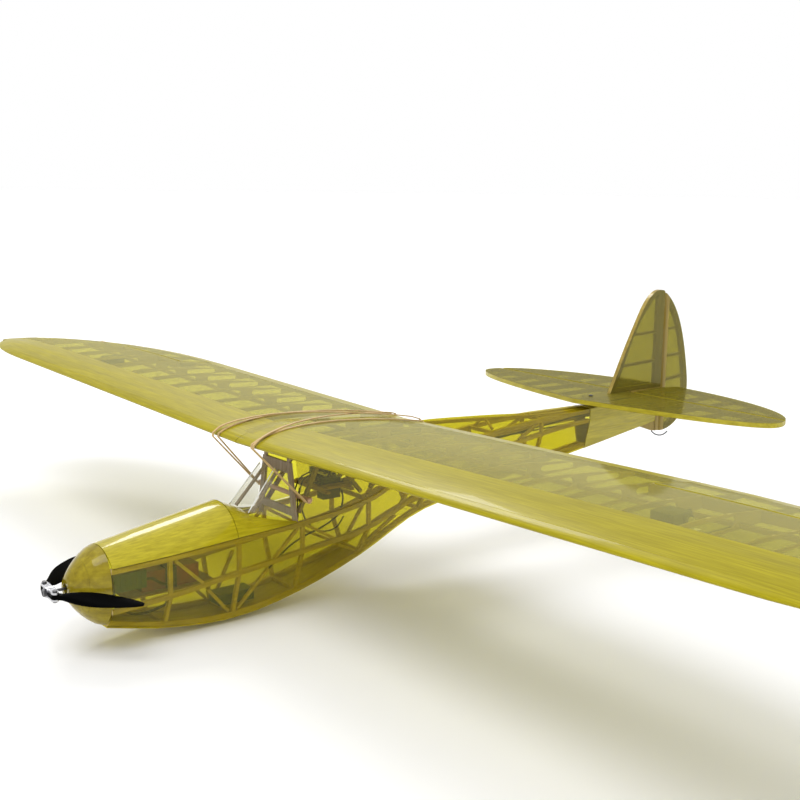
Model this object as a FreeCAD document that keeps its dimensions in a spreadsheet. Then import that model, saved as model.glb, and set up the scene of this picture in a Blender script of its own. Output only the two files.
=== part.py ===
import FreeCAD, Part
import math
import os

V = FreeCAD.Vector

# A radio-controlled electric glider with a built-up wooden frame under clear film.
# Drawing datum: the wing's leading edge on the centre line, +X to port, +Y aft, +Z up.
# Every sub-part's Placement then carries it to the row's frame, below the middle of its box.

DIMENSIONS = {
    "datum_aft": 261.85,
    "datum_down": 185.5,
    # wing
    "half_span": 775.0,
    "chord": 226.8,
    "rib_pitch": 56.4,
    "taper_start": 423.0,
    "nose_curve_start": 625.4,
    "tip_aft": 48.6,
    "section_thickness": 0.08,
    "section_camber": 0.027,
    "dihedral": 1.4,
    "nose_strip": 8.0,
    "sheet_aft": 54.0,
    "sheet_thickness": 1.5,
    "film_thickness": 0.4,
    "rib_thickness": 2.0,
    "spar_width": 5.0,
    "cap_height": 3.0,
    "stringer_aft": 127.0,
    "stringer_size": 4.0,
    "trailing_width": 24.0,
    "hinge_aft": 158.0,
    "hinge_spar": 3.0,
    "aileron_end": 684.0,
    "hinge_gap": 1.2,
    # tail surfaces
    "tail_half_span": 253.6,
    "tail_level": -7.6,
    "tail_thickness": 6.0,
    "tail_tip_aft": 592.6,
    "tail_front": 85.3,
    "tail_rear": 106.5,
    "rim_width": 8.0,
    "elevator_axis": 612.0,
    "rudder_axis": 680.0,
    "fin_thickness": 6.0,
    # fuselage sticks and skins
    "stick": 5.0,
    "brace": 4.0,
    "ply": 3.0,
    # propeller
    "hub_aft": -206.5,
    "hub_level": -122.0,
    "pin_radius": 13.0,
    "blade_length": 88.0,
    "blade_fold": 43.5,
    "hub_roll": 4.0,
    # controls
    "arm_radius": 12.0,
    "rod_radius": 0.9,
    "wire_radius": 0.8,
}

# Fuselage stations from nose to stern: place, ridge, upper longeron, middle longeron, floor,
# half width at the two longerons, half width at the floor.
STATIONS = {
    "bow": (-157.0, -84.0, -101.0, -147.0, -165.0, 33.0, 17.0),
    "tray": (-97.0, -74.0, -97.0, -141.0, -176.0, 39.0, 25.0),
    "deck": (-20.0, -60.0, -91.0, -131.0, -181.5, 42.0, 27.0),
    "cabin": (58.0, -8.0, -86.0, -122.0, -171.0, 42.0, 25.0),
    "saddle": (148.0, -8.0, -75.0, -111.0, -146.0, 39.0, 20.0),
    "waist": (238.0, -4.0, -43.0, -82.0, -111.0, 32.0, 15.0),
    "hoop": (346.0, -9.0, -25.0, -55.0, -96.0, 25.0, 11.0),
    "rear": (433.0, -15.0, -19.0, -42.0, -84.0, 21.0, 8.8),
    "tail": (525.0, -16.0, -18.0, -36.0, -72.0, 15.0, 6.8),
    "stern": (672.0, -11.5, -12.0, -35.0, -52.0, 4.0, 2.5),
}
STATION_FIELDS = ("aft", "ridge", "upper", "middle", "floor", "width", "sole")
NAMES = list(STATIONS)

doc = FreeCAD.newDocument("HandGlider")
sheet = doc.addObject("Spreadsheet::Sheet", "Dimensions")


def fill_sheet():
    """Write every driving dimension to the sheet as a plain number with its alias."""
    rows = dict(DIMENSIONS)
    for station, values in STATIONS.items():
        for field, value in zip(STATION_FIELDS, values):
            rows[station + "_" + field] = value
    for index, (alias, value) in enumerate(rows.items(), start=1):
        sheet.set("A%d" % index, alias.replace("_", " "))
        sheet.set("B%d" % index, str(value))
        sheet.setAlias("B%d" % index, alias)
    doc.recompute()


fill_sheet()


def dim(alias):
    """A driving dimension, read back from the sheet."""
    return float(sheet.get(alias))


SUBPARTS = []


def register(obj, label):
    """Name a finished sub-part and carry it from the drawing datum to the row's frame."""
    obj.Label = label
    obj.setExpression("Placement.Base.y", "-Dimensions.datum_aft")
    obj.setExpression("Placement.Base.z", "Dimensions.datum_down")
    SUBPARTS.append(obj)
    return obj


def feature(label, shapes):
    """A sub-part whose shape is made with Part's own functions."""
    shapes = shapes if isinstance(shapes, list) else [shapes]
    obj = doc.addObject("Part::Feature", label)
    for shape in shapes:
        if shape.Volume < 0:
            shape.reverse()
    obj.Shape = Part.makeCompound(shapes)
    return register(obj, label)


def mirrored(shape):
    """The starboard twin of a port shape."""
    return shape.mirror(V(0, 0, 0), V(1, 0, 0))


def both(shapes):
    """Port shapes followed by their starboard twins."""
    shapes = shapes if isinstance(shapes, list) else [shapes]
    return shapes + [mirrored(s) for s in shapes]


def prism(points, direction):
    """A closed polygon swept along a straight direction."""
    return Part.Face(Part.makePolygon(points + [points[0]])).extrude(direction)


def block(x0, x1, y0, y1, z0, z1):
    """A plain block between two corners."""
    return Part.makeBox(x1 - x0, y1 - y0, z1 - z0, V(x0, y0, z0))


def rod(start, end, radius):
    """A round rod between two points."""
    along = end.sub(start)
    return Part.makeCylinder(radius, along.Length, start, along)


def stick(start, end, width, depth, side=V(1, 0, 0)):
    """A square-cut stick between two points; width lies along side as far as it can."""
    along = end.sub(start)
    across = along.cross(side).normalize()
    flat = across.cross(along).normalize()
    corners = []
    for a, b in ((-1, -1), (1, -1), (1, 1), (-1, 1)):
        corners.append(start + flat * (a * width / 2) + across * (b * depth / 2))
    return prism(corners, along)


def curve(points):
    """A smooth edge through points."""
    spline = Part.BSplineCurve()
    spline.interpolate(points)
    return spline.toShape()


def loft(wires, ruled=True):
    """A solid through closed section wires."""
    return Part.makeLoft(wires, True, ruled)


# ---------------------------------------------------------------- wing geometry

def leading_y(x):
    """The leading edge: straight, then a superellipse into the tip."""
    start = dim("nose_curve_start")
    if x <= start:
        return 0.0
    u = min((x - start) / (dim("half_span") - start), 1.0)
    return dim("tip_aft") * (1.0 - math.sqrt(1.0 - u ** 2.16))


def trailing_y(x):
    """The trailing edge: straight, then a long superellipse into the tip."""
    start = dim("taper_start")
    if x <= start:
        return dim("chord")
    u = min((x - start) / (dim("half_span") - start), 1.0)
    return dim("tip_aft") + (dim("chord") - dim("tip_aft")) * (1.0 - u ** 2.2068) ** 0.48


def surface_z(x, y, upper):
    """Height of the aerofoil's surface: a thin, nearly flat-bottomed four-digit section."""
    front, rear = leading_y(x), trailing_y(x)
    length = rear - front
    u = min(max((y - front) / length, 0.0), 1.0)
    shape = 0.2969 * math.sqrt(u) - 0.126 * u - 0.3516 * u ** 2 + 0.2843 * u ** 3 - 0.1015 * u ** 4
    half = 5.0 * dim("section_thickness") * length * shape
    peak = 0.4
    if u < peak:
        camber = (2 * peak * u - u * u) / peak ** 2
    else:
        camber = (1 - 2 * peak + 2 * peak * u - u * u) / (1 - peak) ** 2
    middle = dim("section_camber") * length * camber
    return middle + half if upper else middle - half


def surface_points(x, y0, y1, upper, inset=0.0, count=7):
    """Points along one surface of the section, inset towards its inside."""
    sign = -1.0 if upper else 1.0
    points = []
    for i in range(count):
        y = y0 + (y1 - y0) * i / (count - 1)
        points.append(V(x, y, surface_z(x, y, upper) + sign * inset))
    return points


def skin_section(x, y0, y1, upper, thickness):
    """The closed section of a thin skin on one surface of the wing."""
    outer = surface_points(x, y0, y1, upper)
    inner = surface_points(x, y0, y1, upper, thickness)
    edges = [curve(outer), Part.makeLine(outer[-1], inner[-1]), curve(inner[::-1]),
             Part.makeLine(inner[0], outer[0])]
    return Part.Wire(edges)


def nose_section(x):
    """The solid nose strip's section: the aerofoil's round nose cut square at its back."""
    front = leading_y(x)
    back = front + dim("nose_strip")
    reach = [1.0, 0.55, 0.22, 0.05]
    top = [V(x, front + (back - front) * r, surface_z(x, front + (back - front) * r, True)) for r in reach]
    low = [V(x, p.y, surface_z(x, p.y, False)) for p in top[::-1]]
    points = top + [V(x, front, 0.0)] + low
    return Part.Wire([curve(points), Part.makeLine(points[-1], points[0])])


def solid_section(x, y0, y1):
    """A section filled between both surfaces."""
    top = surface_points(x, y0, y1, True)
    low = surface_points(x, y1, y0, False)
    edges = [curve(top), Part.makeLine(top[-1], low[0]), curve(low), Part.makeLine(low[-1], top[0])]
    return Part.Wire(edges)


def sheet_rear(x):
    """Back edge of the leading-edge sheeting."""
    return dim("sheet_aft")


def film_rear(x):
    """Back edge of the covering that ends at the trailing-edge strip."""
    return trailing_y(x) - strip_width(x)


def strip_width(x):
    """The trailing-edge strip narrows into the tip bow."""
    start, end = dim("aileron_end"), 768.0
    full, bow = dim("trailing_width"), 9.0
    if x <= dim("taper_start"):
        return full
    u = min(max((x - start) / (end - start), 0.0), 1.0)
    return bow + (13.0 - bow) * (1.0 - u)


ROOT_GAP = 0.5
TIP_STATION = 768.0
SKIN_BACK = 0.05


def tip_stations(start, count=5):
    """Stations that close up towards the tip."""
    span = TIP_STATION - start
    return [start + span * math.sin(math.pi / 2 * i / count) for i in range(count + 1)]


def raise_panel(shape):
    """Tilt a flat port panel up to its dihedral about the centre line."""
    shape.rotate(V(0, 0, 0), V(0, 1, 0), -dim("dihedral"))
    return shape


def wing_pair(label, shapes):
    """A port node and a starboard node from flat port shapes."""
    port = [raise_panel(s) for s in shapes]
    feature(label + "_port", port)
    feature(label + "_starboard", [mirrored(s) for s in port])


def wing_node(label, shapes):
    """One node that holds both halves of a fixed piece of the wing."""
    feature(label, both([raise_panel(s) for s in shapes]))


def wing_nose_strips():
    stations = [ROOT_GAP, dim("nose_curve_start")] + tip_stations(dim("nose_curve_start"), 9)[1:]
    wing_node("wing_leading_edge", [loft([nose_section(x) for x in stations])])


def wing_sheeting():
    skins = []
    stations = [ROOT_GAP, dim("taper_start")] + rib_stations()[8:11]
    stations += tip_stations(dim("nose_curve_start"), 9)
    for upper in (True, False):
        wires = []
        for x in stations:
            front = leading_y(x) + dim("nose_strip")
            wires.append(skin_section(x, front, max(sheet_rear(x), front + 2.0), upper,
                                      dim("sheet_thickness")))
        skins.append(loft(wires))
    wing_node("wing_sheeting", skins)


def wing_film():
    """Clear covering behind the sheeting: full chord inboard, to the hinge line outboard."""
    skins = []
    end = dim("aileron_end")
    hinge = dim("hinge_aft") - dim("hinge_gap") / 2 - 0.2
    for upper in (True, False):
        inboard = [skin_section(x, sheet_rear(x), film_rear(x) - 0.1, upper, dim("film_thickness"))
                   for x in (ROOT_GAP, dim("taper_start"))]
        skins.append(loft(inboard))
        middle = [skin_section(x, sheet_rear(x), hinge, upper, dim("film_thickness"))
                  for x in [dim("taper_start")] + rib_stations()[8:12] + [end]]
        skins.append(loft(middle) if upper else loft(middle).cut(arm_slot()))
        tip = [skin_section(x, max(sheet_rear(x), leading_y(x) + 10.0), film_rear(x) - 0.3, upper,
                            dim("film_thickness")) for x in tip_stations(end + 1.0, 6)]
        skins.append(loft(tip))
    wing_node("wing_film", skins)


def wing_trailing_edges():
    end = dim("aileron_end")
    inner = loft([solid_section(x, film_rear(x), trailing_y(x)) for x in (ROOT_GAP, dim("taper_start"))])
    bow = loft([solid_section(x, film_rear(x), trailing_y(x)) for x in tip_stations(end + 1.0, 6)])
    tip_points = [V(x, trailing_y(x), -2.2) for x in (TIP_STATION + 0.1, 770.5, 773.0, 774.5)]
    tip_points.append(V(dim("half_span"), dim("tip_aft"), -2.2))
    nose_points = [V(x, leading_y(x), -2.2) for x in (774.5, 773.0, 770.5, TIP_STATION + 0.1)]
    outline = curve(tip_points + nose_points)
    closing = Part.makeLine(nose_points[-1], tip_points[0])
    tip = Part.Face(Part.Wire([outline, closing])).extrude(V(0, 0, 5.0))
    wing_node("wing_trailing_edge", [inner, bow, tip])


def cap_level(x, y0, y1, upper):
    """The level that keeps a flat cap under the skin at both of its edges."""
    if upper:
        return min(surface_z(x, y0, True), surface_z(x, y1, True)) - dim("sheet_thickness") - SKIN_BACK
    return max(surface_z(x, y0, False), surface_z(x, y1, False)) + dim("sheet_thickness") + SKIN_BACK


def spar_wires(x, y0, y1, z0, z1):
    """A rectangular section in a plane of constant x."""
    points = [V(x, y0, z0), V(x, y1, z0), V(x, y1, z1), V(x, y0, z1)]
    return Part.makePolygon(points + [points[0]])


def main_spar():
    """Two caps and the web between them, running from the centre to the tip bay."""
    back = dim("sheet_aft") - 0.3
    front = back - dim("spar_width")
    stations = (ROOT_GAP, dim("taper_start"), 560.0, 650.0, 720.0)
    pieces = []
    for upper in (True, False):
        wires = []
        for x in stations:
            level = cap_level(x, front, back, upper)
            inner = level - dim("cap_height") if upper else level + dim("cap_height")
            wires.append(spar_wires(x, front, back, min(level, inner), max(level, inner)))
        pieces.append(loft(wires))
    wires = []
    for x in stations:
        low = cap_level(x, front, back, False) + dim("cap_height")
        high = cap_level(x, front, back, True) - dim("cap_height")
        wires.append(spar_wires(x, front + 1.5, front + 3.0, low, high))
    pieces.append(loft(wires))
    return pieces


def bottom_stringer():
    """A square stick let into the ribs' undersides between their two rows of holes."""
    y0 = dim("stringer_aft")
    y1 = y0 + dim("stringer_size")
    wires = []
    for x in (ROOT_GAP, dim("taper_start"), 560.0, 680.0):
        low = max(surface_z(x, y0, False), surface_z(x, y1, False)) + dim("film_thickness") + SKIN_BACK
        wires.append(spar_wires(x, y0, y1, low, low + dim("stringer_size")))
    return loft(wires)


def hinge_spar():
    """The upright strip that closes the wing in front of the aileron."""
    back = dim("hinge_aft") - dim("hinge_gap") / 2 - 0.2
    front = back - dim("hinge_spar")
    wires = []
    for x in [dim("taper_start") + 1.2] + rib_stations()[8:12] + [dim("aileron_end") - 0.2]:
        low = surface_z(x, front, False) + dim("film_thickness") + 0.15
        high = surface_z(x, back, True) - dim("film_thickness") - 0.15
        wires.append(spar_wires(x, front, back, low, high))
    return loft(wires)


def wing_spars():
    wing_node("wing_spars", main_spar() + [bottom_stringer(), hinge_spar()])


def rib_stations():
    """Rib places on one panel; the tip bow's last bay has none."""
    pitch = dim("rib_pitch")
    return [pitch * (0.5 + k) for k in range(13)]


def rib_rear(x):
    """A rib ends at the trailing strip, or at the hinge spar in front of an aileron."""
    if dim("taper_start") + 2.0 < x < dim("aileron_end") + 1.0:
        return dim("hinge_aft") - dim("hinge_gap") / 2 - 0.2 - dim("hinge_spar") - SKIN_BACK
    return film_rear(x) - (0.2 if x < dim("aileron_end") else 1.6)


def slot(x, y0, y1, radius):
    """A round-ended lightening hole along a rib."""
    def middle(y):
        return (surface_z(x, y, True) + surface_z(x, y, False)) / 2
    z0, z1 = middle(y0), middle(y1)
    a, b = V(x, y0, z0), V(x, y1, z1)
    reach = dim("rib_thickness")
    hole = block(-reach, reach, 0, b.sub(a).Length, -radius, radius)
    hole = hole.fuse(Part.makeCylinder(radius, 2 * reach, V(-reach, 0, 0), V(1, 0, 0)))
    hole = hole.fuse(Part.makeCylinder(radius, 2 * reach, V(-reach, b.sub(a).Length, 0), V(1, 0, 0)))
    hole.rotate(V(0, 0, 0), V(1, 0, 0), math.degrees(math.atan2(z1 - z0, y1 - y0)))
    hole.translate(a)
    return hole


def rib(x):
    """One rib: stepped under the sheeting, notched for the spars, with two lightening holes."""
    ease = 0.1 if x < dim("nose_curve_start") else 0.6
    front = leading_y(x) + dim("nose_strip") + ease + (1.6 if x > 700.0 else 0.0)
    step = dim("sheet_aft")
    rear = rib_rear(x)
    deep = dim("sheet_thickness") + ease
    thin = dim("film_thickness") + ease
    top = surface_points(x, front, step, True, deep, 5), surface_points(x, step, rear, True, thin)
    low = surface_points(x, rear, step, False, thin), surface_points(x, step, front, False, deep, 5)
    edges = [curve(top[0]), Part.makeLine(top[0][-1], top[1][0]), curve(top[1]),
             Part.makeLine(top[1][-1], low[0][0]), curve(low[0]),
             Part.makeLine(low[0][-1], low[1][0]), curve(low[1]), Part.makeLine(low[1][-1], top[0][0])]
    thick = dim("rib_thickness")
    shape = Part.Face(Part.Wire(edges)).extrude(V(thick, 0, 0)).translated(V(-thick / 2, 0, 0))
    depth = surface_z(x, 80.0, True) - surface_z(x, 80.0, False)
    if x < dim("aileron_end") and depth > 10.0:
        shape = shape.cut(slot(x, 68.0, min(118.0, rear - 20.0), depth * 0.26))
    if rear > 190.0:
        shape = shape.cut(slot(x, 142.0, 180.0, 2.9))
    return shape


def spar_notches():
    """The space that the spars take out of the ribs, with a hair of slack."""
    back = dim("sheet_aft") + 0.05
    slack = block(0, 722.0, back - 0.4 - dim("spar_width"), back, -30, 30)
    y0, size = dim("stringer_aft"), dim("stringer_size")
    wires = []
    for x in (0.0, dim("taper_start"), 560.0, 681.0):
        low = surface_z(x, y0, False)
        wires.append(spar_wires(x, y0 - 0.1, y0 + size + 0.1, low - 2.0, low + size + 0.9))
    return slack, loft(wires)


def wing_ribs():
    spar_space, stringer_space = spar_notches()
    pieces = []
    for x in rib_stations():
        pieces += rib(x).cut(spar_space).cut(stringer_space).Solids
    wing_node("wing_ribs", pieces)


# ---------------------------------------------------------------- ailerons

def aileron_axis_z():
    """The hinge line lies half way up the section at the hinge."""
    x, y = dim("taper_start"), dim("hinge_aft")
    return (surface_z(x, y, True) + surface_z(x, y, False)) / 2


def aileron_front(x):
    """The bevelled front strip: its edge points at the hinge line so that it can swing."""
    axis_y, axis_z = dim("hinge_aft"), aileron_axis_z()
    back = axis_y + 6.0
    top = surface_z(x, axis_y + 3.5, True)
    low = surface_z(x, axis_y + 3.5, False)
    points = [V(x, axis_y + 0.5, axis_z), V(x, axis_y + 3.5, low), V(x, back, surface_z(x, back, False)),
              V(x, back, surface_z(x, back, True)), V(x, axis_y + 3.5, top)]
    return Part.makePolygon(points + [points[0]])


def aileron_strip(x):
    """Width of the aileron's trailing strip."""
    return min(16.0, (trailing_y(x) - dim("hinge_aft")) * 0.35)


def aileron():
    start, end = dim("taper_start") + 1.8, dim("aileron_end") - 1.2
    back = dim("hinge_aft") + 6.1
    stations = [start] + rib_stations()[8:12] + [end]
    front = loft([aileron_front(x) for x in stations])
    trailing = loft([solid_section(x, trailing_y(x) - aileron_strip(x), trailing_y(x)) for x in stations])
    ribs = []
    for x in [start] + rib_stations()[8:12] + [end - dim("rib_thickness")]:
        rear = trailing_y(x + dim("rib_thickness")) - aileron_strip(x) - 0.6
        if rear - back > 2.0:
            wires = []
            for station in (x, x + dim("rib_thickness")):
                top = surface_points(station, back + 0.05, rear, True, dim("film_thickness") + 0.2, 4)
                low = surface_points(station, rear, back + 0.05, False, dim("film_thickness") + 0.2, 4)
                wires.append(Part.makePolygon(top + low + [top[0]]))
            ribs.append(loft(wires))
    skins = []
    for upper in (True, False):
        skins.append(loft([skin_section(x, back, trailing_y(x) - aileron_strip(x) - 0.15, upper,
                                        dim("film_thickness")) for x in stations]))
    return [front, trailing] + ribs, skins


def ailerons():
    frame, skins = aileron()
    wing_pair("aileron_frame", frame)
    wing_pair("aileron_horn", [aileron_horn()])
    wing_pair("aileron_film", skins)


# ---------------------------------------------------------------- fuselage lines

def station_value(field, y):
    """A fuselage line at any place, as a smooth cubic through the stations."""
    places = [dim(name + "_aft") for name in NAMES]
    values = [dim(name + "_" + field) for name in NAMES]
    index = 0
    while index < len(places) - 2 and y > places[index + 1]:
        index += 1

    def slope(i):
        lo, hi = max(i - 1, 0), min(i + 1, len(places) - 1)
        return (values[hi] - values[lo]) / (places[hi] - places[lo])
    run = places[index + 1] - places[index]
    u = (y - places[index]) / run
    a, b = values[index], values[index + 1]
    s, t = slope(index) * run, slope(index + 1) * run
    return ((2 * u ** 3 - 3 * u ** 2 + 1) * a + (u ** 3 - 2 * u ** 2 + u) * s
            + (3 * u ** 2 - 2 * u ** 3) * b + (u ** 3 - u ** 2) * t)


def upper_point(y, inward=0.0):
    return V(station_value("width", y) - inward, y, station_value("upper", y))


def middle_point(y, inward=0.0):
    return V(station_value("width", y) - inward, y, station_value("middle", y))


def floor_point(y, inward=0.0):
    return V(station_value("sole", y) - inward, y, station_value("floor", y))


def ridge_point(y):
    return V(0.0, y, station_value("ridge", y))


def between(first, last, step=26.0):
    """Even places between two stations, close enough to follow the curves."""
    y0, y1 = dim(first + "_aft"), dim(last + "_aft")
    count = max(2, int(round((y1 - y0) / step)))
    return [y0 + (y1 - y0) * i / count for i in range(count + 1)]


def panel(edge_a, edge_b, places, thickness, inside, trim=0.0):
    """A thin skin panel between two fuselage lines, thickened towards the inside."""
    wires = []
    for y in places:
        a, b = edge_a(y), edge_b(y)
        run = b.sub(a).normalize()
        a, b = a + run * trim, b - run * trim
        normal = V(run.z, 0, -run.x)
        if normal.dot(inside(y).sub(a)) < 0:
            normal = normal * -1
        wires.append(Part.makePolygon([a, b, b + normal * thickness, a + normal * thickness, a]))
    return loft(wires)


def core(y):
    """A point well inside the fuselage."""
    return V(0, y, (station_value("upper", y) + station_value("floor", y)) / 2)


def square_line(edge, places, size, drop, inward):
    """A square longeron that follows a fuselage line just inside the skin."""
    wires = []
    for y in places:
        p = edge(y)
        x1 = p.x - inward
        z1 = p.z - drop
        wires.append(Part.makePolygon([V(x1, y, z1), V(x1 - size, y, z1), V(x1 - size, y, z1 - size),
                                       V(x1, y, z1 - size), V(x1, y, z1)]))
    return loft(wires)


FILM_SPANS = (("bow", "deck"), ("deck", "saddle"), ("saddle", "hoop"), ("hoop", "tail"))


def ridge_stringer():
    wires = []
    y0 = dim("waist_aft") + 4.0
    for y in [y0] + between("waist", "tail")[1:]:
        top = station_value("ridge", y) - 3.1
        wires.append(Part.makePolygon([V(-2, y, top), V(2, y, top), V(2, y, top - 4), V(-2, y, top - 4),
                                       V(-2, y, top)]))
    return loft(wires)


def longeron_solids():
    """Six longerons along the three side lines, and the ridge stringer."""
    size = dim("stick")
    run = between("bow", "tail")
    pieces = both(square_line(upper_point, run, size, 0.6, 1.0))
    pieces += both(square_line(middle_point, run, size, -size + 0.4, 1.1))
    pieces += both(square_line(floor_point, run, size, -size - 2.2, 0.3))
    return pieces + [ridge_stringer()]


def longerons():
    feature("longerons", longeron_solids())


def trimmed(pieces):
    """Scarf each brace against the longerons that it meets."""
    cutters = longeron_solids()
    kept = []
    for piece in pieces:
        for cutter in cutters:
            if piece.BoundBox.intersect(cutter.BoundBox):
                piece = piece.cut(cutter)
        kept.append(max(piece.Solids, key=lambda solid: solid.Volume))
    return kept


def side_film():
    """Clear side covering in two facets that meet on the middle longeron, and the cabin sides."""
    thickness = dim("film_thickness")
    port = []
    for first, last in FILM_SPANS:
        places = between(first, last)
        port.append(panel(upper_point, middle_point, places, thickness, core))
        port.append(panel(middle_point, floor_point, places, thickness, core, 0.45))
    port.append(cabin_side_film())
    feature("fuselage_side_film", both(port))


def cabin_rail_point(y):
    """Top outer edge of the cabin side, along the wing saddle."""
    return V(27.0 - 5.0 * (y - 52.0) / 186.0, y, -8.5)


def cabin_side_film():
    """The covered cabin side above the upper longeron, behind the windscreen frame."""
    places = [56.0, 100.0, 148.0, 190.0, 234.0]
    side = panel(cabin_rail_point, upper_point, places, dim("film_thickness"), core, 0.9)
    y, z = FRONT_DOWEL
    return side.cut(rod(V(0, y, z), V(60, y, z), 2.75))


def across(y):
    """The starboard floor line, where the belly panels start."""
    p = floor_point(y)
    return V(-p.x, p.y, p.z)


def back_film():
    """The ridge-backed covering behind the wing, and the covering below it."""
    thickness = dim("film_thickness")
    pieces = []
    y, z = BACK_DOWEL
    for first, last in (("waist", "hoop"), ("hoop", "tail")):
        side = panel(ridge_point, upper_point, between(first, last), thickness, core, 0.7)
        pieces += both(side.cut(rod(V(0, y, z), V(60, y, z), 2.75)))
    for first, last in (("saddle", "hoop"), ("hoop", "tail")):
        pieces.append(panel(across, floor_point, between(first, last), thickness, core, 0.8))
    feature("back_and_belly_film", pieces)


def upright(y, size):
    """One side post in two lengths, above and below the middle longeron."""
    inset = 1.2 + size / 2
    up, mid, low = upper_point(y, inset), middle_point(y, inset), floor_point(y)
    upper = stick(V(up.x, y, up.z - 3.0), V(mid.x, y, mid.z + 3.0), size, size)
    lower = stick(V(mid.x - 1.0, y, mid.z - 0.2), V(low.x - inset, y, low.z + 5.5), size, size)
    return [upper, lower]


def side_uprights():
    posts = []
    for name in NAMES[1:-2]:
        posts += upright(dim(name + "_aft"), dim("brace"))
    return both(posts)


def side_brace(start, end, inset):
    """One diagonal, laid just inside the skin."""
    size = dim("brace") - 0.8
    return stick(start - V(inset, 0, 0), end - V(inset, 0, 0), size, size)


def side_diagonals():
    """A zigzag of braces from bay to bay, each broken at the middle longeron."""
    pieces = []
    names = NAMES[1:-2]
    clear = dim("stick") + 1.6
    inset = 1.7 + dim("brace") / 2
    for index in range(len(names) - 1):
        y0, y1 = dim(names[index] + "_aft") + 5.5, dim(names[index + 1] + "_aft") - 5.5
        down = index % 2 == 0
        top_y, low_y = (y0, y1) if down else (y1, y0)
        join_y = (top_y + low_y) / 2
        aim = 3.0 if down else -3.0
        top, low = upper_point(top_y), floor_point(low_y)
        mid_a, mid_b = middle_point(join_y - aim), middle_point(join_y + aim)
        pieces.append(side_brace(V(top.x, top_y, top.z - clear), V(mid_a.x, mid_a.y, mid_a.z + clear - 2.0),
                                 inset))
        pieces.append(side_brace(V(mid_b.x - 1.8, mid_b.y, mid_b.z - clear + 2.0),
                                 V(low.x + 0.4, low_y, low.z + clear + 2.0), inset))
    return both(pieces)


def crossbars():
    """Sticks across the frame at the stations."""
    pieces = []
    size = dim("brace")
    for name in NAMES[1:-2]:
        y = dim(name + "_aft")
        low = floor_point(y)
        x = low.x - 4.6
        z = low.z + 2.8 + size / 2
        pieces.append(stick(V(-x, y, z), V(x, y, z), size, size, V(0, 1, 0)))
        if name in ("saddle", "hoop", "rear"):
            top = upper_point(y)
            x = top.x - 6.1
            z = top.z - 0.6 - size / 2
            pieces.append(stick(V(-x, y, z), V(x, y, z), size, size, V(0, 1, 0)))
    return pieces


def roof_hoops():
    """The peaked sticks that carry the ridge behind the wing."""
    pieces = []
    for name in ("hoop", "rear"):
        y = dim(name + "_aft") + 4.4
        up, ridge = upper_point(y), ridge_point(y)
        foot = V(up.x - 8.6, y, up.z - 0.4)
        head = V(3.4, y, ridge.z - 5.2)
        pieces += both(stick(foot, head, 2.6, 2.6, V(0, 1, 0)))
    return pieces


def braces():
    feature("frame_braces", trimmed(side_uprights() + side_diagonals() + crossbars() + roof_hoops()))


def belly_sheet():
    """The wooden floor under the nose and cabin."""
    places = between("bow", "saddle")
    feature("belly_sheet", panel(across, floor_point, places, dim("sheet_thickness"), core, 0.9))


def belly_skid():
    """A ply strip under the belly, flat where the model rests."""
    def top(y):
        return station_value("floor", y) - 0.3
    places = [-103.0, -85.0, -68.0, -46.0, -24.0, -10.0, 2.0]
    flat = -dim("datum_down")
    lower = [V(-4, -103.0, top(-103.0) - 1.2), V(-4, -68.0, flat), V(-4, -24.0, flat),
             V(-4, 2.0, top(2.0) - 1.2)]
    upper = [V(-4, y, top(y)) for y in places[::-1]]
    feature("belly_skid", prism(lower + upper, V(8, 0, 0)))


# ---------------------------------------------------------------- nose

def hull_section(y, shrink=0.0):
    """A smooth closed nose section, swelling from the shaft's mouth to the first station."""
    front, mouth = -191.0, 9.0
    u = min(max((y - front) / (dim("bow_aft") - front), 0.0), 1.0)
    swell = (1.0 - (1.0 - u) ** 1.5) ** 0.85
    level = dim("hub_level")
    wide = mouth + (dim("bow_width") + 0.2 - mouth) * swell - shrink
    up = mouth + (dim("bow_ridge") - level - mouth) * swell - shrink
    down = mouth + (level - dim("bow_floor") - mouth) * swell - shrink
    power = 1.0 - 0.14 * u
    points = []
    for i in range(24):
        c, s = math.cos(math.pi * i / 12), math.sin(math.pi * i / 12)
        x = wide * math.copysign(abs(c) ** power, c)
        z = (up if s > 0 else down) * math.copysign(abs(s) ** power, s)
        points.append(V(x, y, level + z))
    spline = Part.BSplineCurve()
    spline.interpolate(points, PeriodicFlag=True)
    return Part.Wire([spline.toShape()])


def nose_shells():
    """The carved front cap and the planked ring behind it, both hollow."""
    seam = -176.0
    front = [-191.0, -190.0, -188.0, -185.0, -181.0, seam]
    rear = [seam + 0.15, -170.0, -164.0, dim("bow_aft") - 0.3]
    wall = 5.0
    for label, places in (("nose_cap", front), ("nose_ring", rear)):
        outer = loft([hull_section(y) for y in places])
        inner_places = [y for y in places if y > -187.0]
        inner_places[-1] += 0.5
        if label == "nose_ring":
            inner_places[0] -= 0.5
        inner = loft([hull_section(y, wall) for y in inner_places])
        shell = outer.cut(inner)
        if label == "nose_cap":
            shell = shell.cut(rod(V(0, -195, dim("hub_level")), V(0, -180, dim("hub_level")), 5.0))
        feature(label, shell)


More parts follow.
